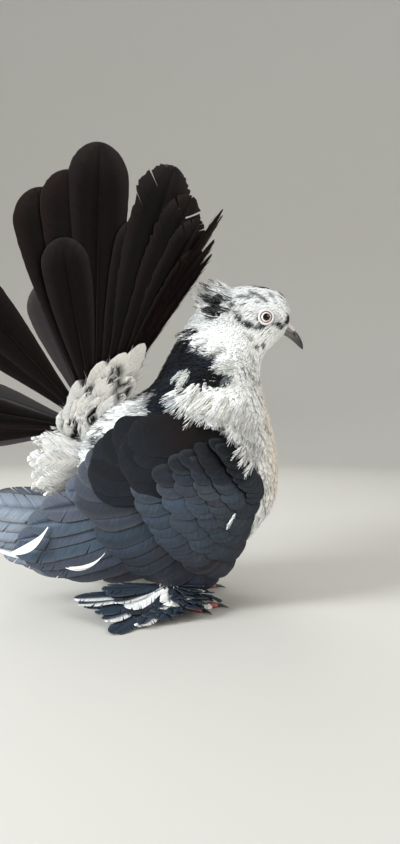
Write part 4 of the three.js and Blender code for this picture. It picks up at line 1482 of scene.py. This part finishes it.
def wing(side, seed, name):
    """All tiers of one wing. The dark ones of the back are a mesh of their own."""
    rng = np.random.default_rng(seed)
    vanes, dome = Pile(), Pile()
    cells = Cells(sum(tier[1] for tier in WING_TIERS))
    for kind, count, roots, tips, most, lift, sink, tilt, rows, columns in WING_TIERS:
        stiff = kind in ("primary", "flight")
        for i in range(count):
            f = i / (count - 1)
            g = np.clip(f + rng.uniform(-0.25, 0.25) / count, 0, 1)
            root = along_line(roots, g)
            tip = along_line(tips, f)
            tip = tip + (root - tip) * 0.05 * rng.random()
            if kind == "covert":
                tip = tip + rng.uniform(-1.6, 1.6, 2)
            half = most * rng.uniform(0.9, 1.08)
            lean = tilt * rng.uniform(0.6, 1.3)
            stand = lift + rng.uniform(-0.1, 0.1)
            place, length = wing_place(side, root, tip, half, stand, sink, lean)
            middle = 0.3 * root + 0.7 * tip
            tint = wing_tint(kind, rng, *middle)
            dark = kind == "scapular" or kind == "covert" and middle[1] > 98
            if kind == "primary" and i == 4:
                tint = white_edged(tint)
            feather(
                dome if dark else vanes, place, length, half, rng, tint, cells.next(),
                root=0.3, rows=rows, columns=columns, splits=2 if stiff else 0,
                frayed=2 if stiff else 0, gap=0.008, whole=not stiff,
                thick={"scapular": 0.25, "covert": 0.22}.get(kind, 0.34),
                shaft=0.6 if stiff else 0.0, curl=0.2, wear=0.02, arch=0.012,
            )
    word = word_of(side)
    dome.mesh(f"wing_dome_{word}", BACK, "wing_plumage")
    return vanes.mesh(name, GLOSSY, "wing_plumage", (f"wing_{word}",))


def wing_bed(side, name):
    """The small feathers' bed under the coverts, so that no light comes through. Its slate is darkened
    as painted shade under them.
    """
    pile = Pile()
    around = 48
    turn = circle(around)
    rings = []
    for share, lift in ((0.02, 0), (0.3, -0.3), (0.55, -1.5), (0.8, -5), (0.97, -9)):
        x = share * WING_RADII[0] * np.cos(turn)
        z = share * WING_RADII[1] * np.sin(turn)
        c, s = math.cos(WING_TURN), math.sin(WING_TURN)
        x, z = x * c - z * s + WING_CENTRE[0], x * s + z * c + WING_CENTRE[1]
        rings.append(np.stack([x, side * (wing_stand(x, z) + lift - 1.5), z], -1))
    last = rings[-1].copy()
    last[:, 1] = side * 22
    rings.append(last)
    points = np.array(rings)
    quads, tris = tube_faces(len(rings), around)
    flat = 0.5 + 0.45 * (points[..., (0, 2)] - WING_CENTRE) / 62
    # Painted shade: the bed's slate is darkened to 0.6 under the coverts
    pile.add(points, quads, tris, SLATE * 0.6, flat, np.zeros(2))
    return pile.mesh(name, GLOSSY, "wing_plumage")


# Loose white feathers that show at the wing's front and low on the flank: x and z of the root, length,
# angle below straight back and half width
WING_SLIVERS = (
    (57, 113, 13, 50, 3.2),
    (60, 107, 13, 56, 3.0),
    (53, 118, 13, 44, 3.0),
    (55, 115, 10, 62, 3.0),
    (47, 73, 12, 58, 1.5),
    (-83, 62, 33, 36, 3.2),
    (-43, 44, 28, 22, 1.1),
    (-47, 39, 25, 14, 0.9),
)


def wing_slivers(side, name):
    """Single white feathers over the wing: curved ones at the rear, loose ones at the front."""
    rng = np.random.default_rng(77)
    pile = Pile()
    cells = Cells(len(WING_SLIVERS))
    for x, z, length, down, half in WING_SLIVERS:
        if x < -30:
            turn = math.radians(down)
            tip = np.array((x - length * math.cos(turn), z - length * math.sin(turn)))
            place, long = wing_place(side, np.array((x, z), float), tip, half, 4.0, 5.0, 0.5)
            feather(
                pile, place, long, half, rng, splotched(rng, 0.0), cells.next(),
                root=0.15, rows=26, columns=3, splits=0, thick=0.3, shaft=0,
                arch=0.0, tip=0.5, whole=True,
            )
            continue
        loose_plume(
            pile, cells, rng, side, x, z, length, down, half, splotched(rng, 0.0),
            root=0.6, barbs=14, thick=0.5, slant=2.4, loose=0.4,
        )
    return pile.mesh(name, SOFT, "white_plumage")


# Feet

# Angle of each toe from straight ahead in degrees, and its length
TOES = ((2, 34), (32, 27), (-30, 27), (172, 19))
TOE_RADIUS = 3.4
RED_SKIN = np.array((0.42, 0.12, 0.10))

# Feathers fanned round the ankle: angle from straight ahead, length and height of the tip
MUFF_FANS = (
    (30, 38, 15),
    (62, 38, 9),
    (100, 44, 5),
    (117, 68, 1.5),
    (137, 64, 9),
    (158, 70, 15),
)


def muffs(side, seed, name):
    """The foot feathers, in two layers that lie out to the side and the rear on the floor."""
    rng = np.random.default_rng(seed)
    pile = Pile()
    ankle = mirrored(ANKLE, side)
    count = 16
    spare = 8
    cells = Cells(count * 2 + spare)
    for layer, (scale, height) in enumerate(((1.0, 0.0), (0.75, 4.0))):
        for i in range(count):
            f = (len(MUFF_FANS) - 1) * i / (count - 1)
            k = min(int(f), len(MUFF_FANS) - 2)
            angle, most, tip = (mix(a, b, f - k) for a, b in zip(MUFF_FANS[k], MUFF_FANS[k + 1]))
            along, over = level_way(angle + rng.uniform(-3, 3), side)
            length = most * scale * rng.uniform(0.86, 1.06)
            half = 8 * rng.uniform(0.8, 1.05)
            end = max(tip + height, 1.6)

            def place(s, c, h):
                p = laid(ankle, along, over, 1 + length * s, c)
                p[..., 2] = mix(13.0 + height, end, smooth(s)) + side * 1.3 * c / half + h
                p[..., 2] = np.maximum(p[..., 2], FLOOR_GAP)
                return p

            white = (i in (5, 11) and layer == 1) or (i == 8 and layer == 0)
            base = wing_tint("muff", rng)
            tint = splotched(rng, 0.2) if white else base
            if not white and rng.random() < 0.3:
                tint = white_edged(base)
            feather(
                pile, place, length, half, rng, tint, cells.next(),
                root=0.35, rows=22, columns=4, splits=2, frayed=3, gap=0.025,
                thick=0.5, shaft=0.6, curl=1.0, wear=0.04,
            )
    return pile.mesh(name, GLOSSY, "leg_plumage")


def toe_feathers(side, name):
    """Small feathers that grow forwards over the toes and hide all but the claws."""
    rng = np.random.default_rng(515)
    pile = Pile()
    ankle = mirrored(ANKLE, side)
    per_toe = 14
    cells = Cells(per_toe * 3)
    for degrees, reach in TOES[:3]:
        way, _ = level_way(degrees, side)
        for i in range(per_toe):
            f = i / (per_toe - 1)
            along, over = level_way(degrees + rng.uniform(-16, 16), side)
            root = ankle * (1, 1, 0) + way * reach * mix(0.0, 0.72, 1 - f) + (0, 0, mix(9.0, 12.5, f))
            length = rng.uniform(11, 15)
            aside = rng.uniform(-3, 3)
            root = root + over * aside

            def place(s, c, h):
                p = laid(root, along, over, length * s, c + aside * s)
                p[..., 2] = p[..., 2] - (3.0 + abs(aside)) * s**2 - 0.06 * c**2 + h
                p[..., 2] = np.maximum(p[..., 2], FLOOR_GAP)
                return p

            tint = splotched(rng, 0.3) if rng.random() < 0.3 else wing_tint("muff", rng)
            feather(
                pile, place, length, 3.6, rng, tint, cells.next(),
                root=0.4, rows=10, columns=2, splits=2, frayed=2, gap=0.03, thick=0.45, shaft=0.3,
            )
    return pile.mesh(name, GLOSSY, "leg_plumage")


def leg_down(side, name):
    """Loose down over the thigh and the shank."""
    rng = np.random.default_rng(505)
    pile = Pile()
    hip, ankle = mirrored(HIP, side), mirrored(ANKLE, side)
    down = unit(ankle - hip)
    a = unit(np.cross(down, (0, 1, 0)))
    b = np.cross(down, a)
    count = 66
    cells = Cells(count)
    for i in range(count):
        f = 1 - i / (count - 1)
        turn = i * 2.4
        out = a * math.cos(turn) + b * math.sin(turn)
        over = np.cross(down, out)
        radius = np.interp(f, (0, 0.5, 1), (11.5, 10.5, 5.0))
        root = hip + (ankle - hip) * f * 0.9 + out * radius
        length = mix(20, 12, f) * rng.uniform(0.85, 1.1)

        def place(s, c, h):
            off = h + 1.5 - 3.5 * np.maximum(1 - s, 0) ** 1.5
            return laid(root, down, over, length * s, c) + out * off[..., None]

        dark = f > 0.55 or out[1] * side < -0.5
        tint = wing_tint("muff", rng) if dark and rng.random() < 0.8 else splotched(rng, 0.25)
        plume(
            pile, place, length, 5.5, rng, tint, cells.next(),
            root=0.7, barbs=10, thick=0.55, loose=0.3,
        )
    return pile.mesh(name, SOFT, "leg_plumage")


def foot(side, name):
    """The shank and the ringed toes, and the claws as a mesh of their own."""
    pile = Pile()
    ankle = mirrored(ANKLE, side)
    top = mix(mirrored(HIP, side), ankle, THIGH_END)
    flat = np.array((0.5, 0.5))
    shank = [top, mix(top, ankle, 0.5), ankle, ankle * (1, 1, 0.5), ankle * (1, 1, 0.25)]
    rod(pile, shank, (4.4, 4.2, 4.2, 4.6, 3.9), RED_SKIN, flat, 16, up=(0, 1, 0))
    claws = Pile()
    for degrees, length in TOES:
        along, _ = level_way(degrees, side)
        s = np.linspace(0, 1, 40)
        path = ankle * (1, 1, 0) + along * (length * s)[:, None]
        heights = (TOE_RADIUS + 1.0, TOE_RADIUS - 0.5, TOE_RADIUS * 0.75 - 0.6)
        path[:, 2] = np.interp(s, (0, 0.25, 1), heights)
        wide = np.interp(s, (0, 0.25, 0.6, 0.9, 1), (3.3, 3.3, 3.0, 2.5, 1.3))
        wide = wide * (1 + 0.05 * np.cos(s * 2 * math.pi * 13))
        wide = np.minimum(wide, path[:, 2] - FLOOR_GAP)
        rod(pile, path, wide, RED_SKIN * 1.05, flat, 14, up=(0, 0, 1))
        s = np.linspace(0, 1, 10)
        path = ankle * (1, 1, 0) + along * (length - 1 + CLAW_LENGTH * s)[:, None]
        path[:, 2] = np.interp(s, (0, 0.5, 1), (2.2, 2.0, 0.5))
        rod(claws, path, np.interp(s, (0, 0.5, 1), (1.35, 1.0, 0.2)), BLACK * 3, flat, 10)
    word = word_of(side)
    pile.mesh(name, SCALY, "bare_skin", (f"foot_{word}",))
    nodes = [f"claw_{word}_{n + 1}" for n in range(len(TOES))]
    claws.mesh(f"claws_{word}", HORN, "horn", nodes)


# Head's bare parts

BILL_ALONG = unit(BILL_TIP - BILL_ROOT)
BILL_UP = np.array((-BILL_ALONG[2], 0, BILL_ALONG[0]))
# Where the halves of the bill meet, as a share of its half height
MOUTH = -0.16
HORN_DARK = np.array((0.035, 0.032, 0.032))
HORN_PALE = np.array((0.15, 0.14, 0.13))


def bill_half(upper):
    """One half of the bill, closed. The upper one has a dent for each nostril, with painted shade in
    it.
    """
    pile = Pile()
    steps, sides = 44, 56
    s = (np.linspace(0, 1, steps) ** 0.8)[:, None]
    turn = circle(sides)[None]
    middle = BILL_ROOT - BILL_ALONG * 2.5 + (BILL_TIP - BILL_ROOT + BILL_ALONG * 2.5) * s[..., None]
    middle = middle + BILL_UP * (1.6 * np.sin(math.pi * s) - 1.5 * s**4)[..., None]
    size = np.sqrt(np.maximum(0.002, 1 - s**2.1)) * mix(1, 0.86, s)
    low, high = (MOUTH + 0.03, 1.0) if upper else (-1.0, MOUTH - 0.03)
    tall = np.clip(np.sin(turn), low, high)
    if not upper:
        size = size * np.interp(s, (0, 0.85, 1), (0.97, 0.94, 0.6))
    wide = np.cos(turn) * BILL_HALF_WIDTH * size
    points = middle + BILL_UP * (tall * BILL_HALF_HEIGHT * size)[..., None]
    points[..., 1] = wide * (1 - 0.12 * np.maximum(tall, 0))
    if upper:
        along = (points - BILL_ROOT) @ BILL_ALONG
        above = (points - BILL_ROOT) @ BILL_UP
        slit = 1 - np.hypot((along - 8.6) / 2.2, (above - 2.3 + 0.25 * (along - 8.6)) / 0.7)
        points[..., 1] *= 1 - 0.35 * smooth(slit * 1.5)
        # Painted shade: each nostril's dent is coloured black, as the shadow in its opening
        dark = smooth(slit * 2)
    else:
        dark = 0 * points[..., 1]
    quads, tris = tube_faces(steps, sides)
    base = mix(HORN_DARK, HORN_PALE, smooth((0.75 - s) / 0.6)[..., None])
    colour = mix(base * (0.8 if upper else 1.3) + 0 * points, BLACK, dark[..., None])
    flat = pairs(s, turn / 6.3) * 0.9 + 0.05
    pile.add(points, quads, tris, colour, flat, flat)
    name = "bill_upper" if upper else "bill_lower"
    return pile.mesh(f"{name}_horn", HORN, "horn", (name,))


def wattle():
    """The two pale, wrinkled lobes over the bill's root."""
    pile = Pile()
    table = np.array(((-2, 4), (1, 4.3), (4, 4.1), (6.5, 3.4), (7.6, 2.9)), float)
    radii = np.array((1.6, 2.2, 2.1, 1.5, 0.5))
    f = np.linspace(0, 1, 26)
    at = np.linspace(0, 1, 5)
    for _, side in SIDES:
        along = np.interp(f, at, table[:, 0])
        above = np.interp(f, at, table[:, 1])
        path = BILL_ROOT + BILL_ALONG * along[:, None] + BILL_UP * above[:, None]
        path[:, 1] = side * 1.7
        wide = np.interp(f, at, radii) * (1 + 0.05 * np.sin(f * 31 + side))
        pale = np.array((0.62, 0.56, 0.54))
        rod(pile, path, wide, pale, np.array((0.5, 0.5)), 24, up=(0, 1, 0))
    return pile.mesh("wattle_skin", BARE, "bare_skin", ("wattle",))


def eye(side):
    """The eyeball with its iris and pupil."""
    word = word_of(side)
    pile = Pile()
    rings, around = 56, 64
    polar = np.linspace(0.01, math.pi - 0.01, rings)[:, None]
    turn = circle(around)[None]
    r = EYE_RADIUS * 0.985
    x = np.sin(polar) * np.cos(turn) * r
    z = np.sin(polar) * np.sin(turn) * r
    y = side * np.cos(polar) * r * 0.8 + 0 * turn
    points = np.stack([x, y, z], -1) + mirrored(EYE, side)
    quads, tris = tube_faces(rings, around)
    if side > 0:
        quads, tris = quads[:, ::-1], tris[:, ::-1]
    rng = np.random.default_rng(9)
    rays = rng.random(around)[None] * 0.25 + 0.8
    iris = np.array((0.76, 0.64, 0.60)) * rays[..., None]
    inner = mix(np.array((0.50, 0.30, 0.24)), iris, smooth((polar - 0.64) / 0.10)[..., None])
    pupil = smooth((0.66 - polar) / 0.05)[..., None]
    rim = smooth((polar - 1.0) / 0.1)[..., None]
    colour = mix(mix(inner, BLACK * 0.4, pupil), BLACK * 1.6, rim)
    flat = 0.5 + pairs(polar * np.cos(turn), polar * np.sin(turn)) * 0.155
    pile.add(points, quads, tris, colour, flat, flat)
    pile.mesh(f"eyeball_{word}", EYEBALL, "eye", (f"eye_{word}",))


def eyelids(side):
    """The wrinkled ring of bare skin round the eye."""
    word = word_of(side)
    lids = Pile()
    rings, around = 96, 20
    turn = circle(rings)[:, None]
    small = circle(around)[None]
    fold = 1 + 0.07 * np.sin(23 * turn) * np.cos(2 * small) + 0.05 * np.sin(41 * turn + 1)
    wide = 1.15 * fold
    ring = 5.1 + wide * np.cos(small)
    x = ring * np.cos(turn)
    y = side * 0.8 * wide * np.sin(small) + 0 * turn
    z = ring * np.sin(turn) * 0.98
    points = np.stack([x, y, z], -1) + np.array((EYE[0], side * (EYE[1] + 1.6), EYE[2]))
    k = np.arange(rings * around).reshape(rings, around)
    nxt, side_k = np.roll(k, -1, axis=0), np.roll(k, -1, axis=1)
    both = np.roll(nxt, -1, axis=1)
    quads = np.stack([k, nxt, both, side_k], -1).reshape(-1, 4)
    if side < 0:
        quads = quads[:, ::-1]
    pale = np.array((0.60, 0.57, 0.56))
    dark = smooth((-np.cos(small) - 0.35) / 0.3)[..., None]
    # Painted shade: the lids are paler on the ridges of their folds and darker in the dents
    colour = mix(pale * (0.7 + 0.3 * fold[..., None]), BLACK * 3, dark + 0 * turn[..., None])
    flat = pairs(turn / 6.3, small / 6.3) * 0.9 + 0.05
    lids.add(points, quads, EMPTY_TRIS, colour, flat, flat)
    lids.mesh(f"lids_{word}", BARE, "bare_skin", (f"eyelids_{word}",))


def crest():
    """Spiky white plumes at the rear of the crown, with black ones among them at the sides."""
    rng = np.random.default_rng(41)
    pile = Pile()
    count = 42
    cells = Cells(count)
    for i in range(count):
        f = 2 * i / (count - 1) - 1
        t = mix(4.3, 5.4, (i % 5) / 4)
        turn = 1.2 * f
        root = body_point(np.array(t), np.array(turn), -1.5)
        rise = mix(0.5, 0.0, min(1, abs(f) * 1.2)) + 0.25 * (rng.random() - 0.5)
        along = unit(np.array((-0.95, 0.3 * f, rise)))
        over = unit(np.cross(np.cross((0, 1, 0.4 * f), along), along))
        roll = 0.7 * (1 if i % 2 else -1)
        over = over * math.cos(roll) + np.cross(along, over) * math.sin(roll)
        length = 17 * rng.uniform(0.75, 1.15)
        upward = rng.uniform(1.0, 3.5)

        def place(s, c, h):
            p = laid(root, along, over, length * s, c * (1 - 0.35 * s) + h)
            p[..., 2] += upward * s**2
            return p

        black = rng.random() < (0.85 if abs(f) > 0.6 else 0.15)

        def tint(s, b, q):
            share = smooth((s - 0.15) / 0.2) * 0.95 if black else smooth((s - 0.8) / 0.2) * 0.25
            return mix(WHITE, BLACK * 2, share[..., None])

        plume(
            pile, place, length, 4.2, rng, tint, cells.next(),
            root=0.6, barbs=12, thick=0.5, slant=3.0, loose=0.2,
        )
    return pile.mesh("crest_plumes", SOFT, "white_plumage")


# Putting it together

make_skin()
head_coat()
neck_coat()
torso_coat()
rump_coat()
undertail()
for word, side in SIDES:
    tail_fan(side, TAIL_RIGHT if side < 0 else TAIL_LEFT, 610 + side, f"fan_{word}")
    tail_coverts(side, 630 + side, f"fan_coverts_{word}")
    wing_bed(side, f"wing_bed_{word}")
    wing(side, 650 + side, f"wing_vanes_{word}")
    wing_slivers(side, f"wing_white_{word}")
    cape(side, f"cape_{word}")
    muffs(side, 670 + side, f"muffs_{word}")
    leg_down(side, f"leg_down_{word}")
    toe_feathers(side, f"toe_feathers_{word}")
    foot(side, f"toes_{word}")
    eye(side)
    eyelids(side)
bill_half(True)
bill_half(False)
wattle()
crest()

# Floor, light and camera

# A pale floor that curves up into a wall all round, in metres
FLOOR_RADIUS = 1.6
WALL_BEND = 0.9
WALL_TOP = 3.2


def make_floor():
    """The floor and wall in one, turned round the upright through the middle."""
    sweep = [(FLOOR_RADIUS, 0.0)]
    for a in np.linspace(0.1, math.pi / 2, 12):
        sweep.append((FLOOR_RADIUS + WALL_BEND * math.sin(a), WALL_BEND - WALL_BEND * math.cos(a)))
    sweep.append((FLOOR_RADIUS + WALL_BEND, WALL_TOP))
    sides = 96
    points = [
        (r * math.cos(2 * math.pi * k / sides), r * math.sin(2 * math.pi * k / sides), z)
        for r, z in sweep
        for k in range(sides)
    ]
    faces = [tuple(range(sides))]
    for ring in range(len(sweep) - 1):
        for k in range(sides):
            a, b = ring * sides + k, ring * sides + (k + 1) % sides
            faces.append((a, a + sides, b + sides, b))
    mesh = bpy.data.meshes.new("floor")
    mesh.from_pydata(points, [], faces)
    mesh.polygons.foreach_set("use_smooth", np.ones(len(faces), bool))
    floor = bpy.data.objects.new("floor", mesh)
    bpy.context.scene.collection.objects.link(floor)
    material = bpy.data.materials.new("floor")
    material.use_nodes = True
    surface = material.node_tree.nodes["Principled BSDF"]
    surface.inputs["Base Color"].default_value = (0.52, 0.505, 0.465, 1)
    surface.inputs["Roughness"].default_value = 0.9
    surface.inputs["Specular IOR Level"].default_value = 0.1
    mesh.materials.append(material)


def make_room():
    """Soft light from all round."""
    world = bpy.data.worlds.new("room")
    bpy.context.scene.world = world
    world.use_nodes = True
    sky = world.node_tree.nodes["Background"]
    sky.inputs["Color"].default_value = (0.92, 0.95, 1.0, 1)
    sky.inputs["Strength"].default_value = 1.0


def area_light(name, place, aim, size, watts, colour):
    """A soft square light of a size in metres, aimed at a point."""
    light = bpy.data.lights.new(name, "AREA")
    light.size = size
    light.energy = watts
    light.color = colour
    lamp = bpy.data.objects.new(name, light)
    lamp.location = place
    lamp.rotation_euler = (Vector(aim) - Vector(place)).to_track_quat("-Z", "Y").to_euler()
    bpy.context.scene.collection.objects.link(lamp)


# Points that the lights aim at, in millimetres
MIDDLE = np.array((-10, 0, 130))
REAR = np.array((-90, 0, 90))
# Lights: name, place in metres, aim, size in metres, watts and colour
LIGHTS = (
    ("key", (-1.15, -0.75, 0.95), MIDDLE, 0.5, 19, (0.90, 0.96, 1.0)),
    ("front", (0.9, -1.1, 0.8), MIDDLE, 0.8, 10, (1.0, 0.97, 0.93)),
    ("back", (-0.2, 1.2, 1.1), MIDDLE, 0.8, 8, (1.0, 1.0, 1.0)),
    ("window", (-0.95, -0.45, 0.30), REAR, 0.35, 14, (0.94, 0.97, 1.0)),
)
# The photo's view: its height in pixels, and how many pixels a metre takes up a metre away
PHOTO_HEIGHT = 844
PHOTO_FOCAL = 650
SENSOR = 36
CAMERA_PLACE = np.array((23, -500, 135))
EXPOSURE = 0.06


def make_camera():
    """The camera stands level, half a metre off on the bird's right."""
    data = bpy.data.cameras.new("camera")
    data.sensor_width = SENSOR
    data.lens = SENSOR * PHOTO_FOCAL / PHOTO_HEIGHT
    camera = bpy.data.objects.new("camera", data)
    camera.location = Vector((OFFSET + CAMERA_PLACE) * MM)
    camera.rotation_euler = (math.pi / 2, 0, 0)
    scene = bpy.context.scene
    scene.collection.objects.link(camera)
    scene.camera = camera
    scene.view_settings.view_transform = "Standard"
    scene.view_settings.exposure = EXPOSURE


make_floor()
make_room()
for name, place, aim, size, watts, colour in LIGHTS:
    area_light(name, place, (OFFSET + aim) * MM, size, watts, colour)
make_camera()
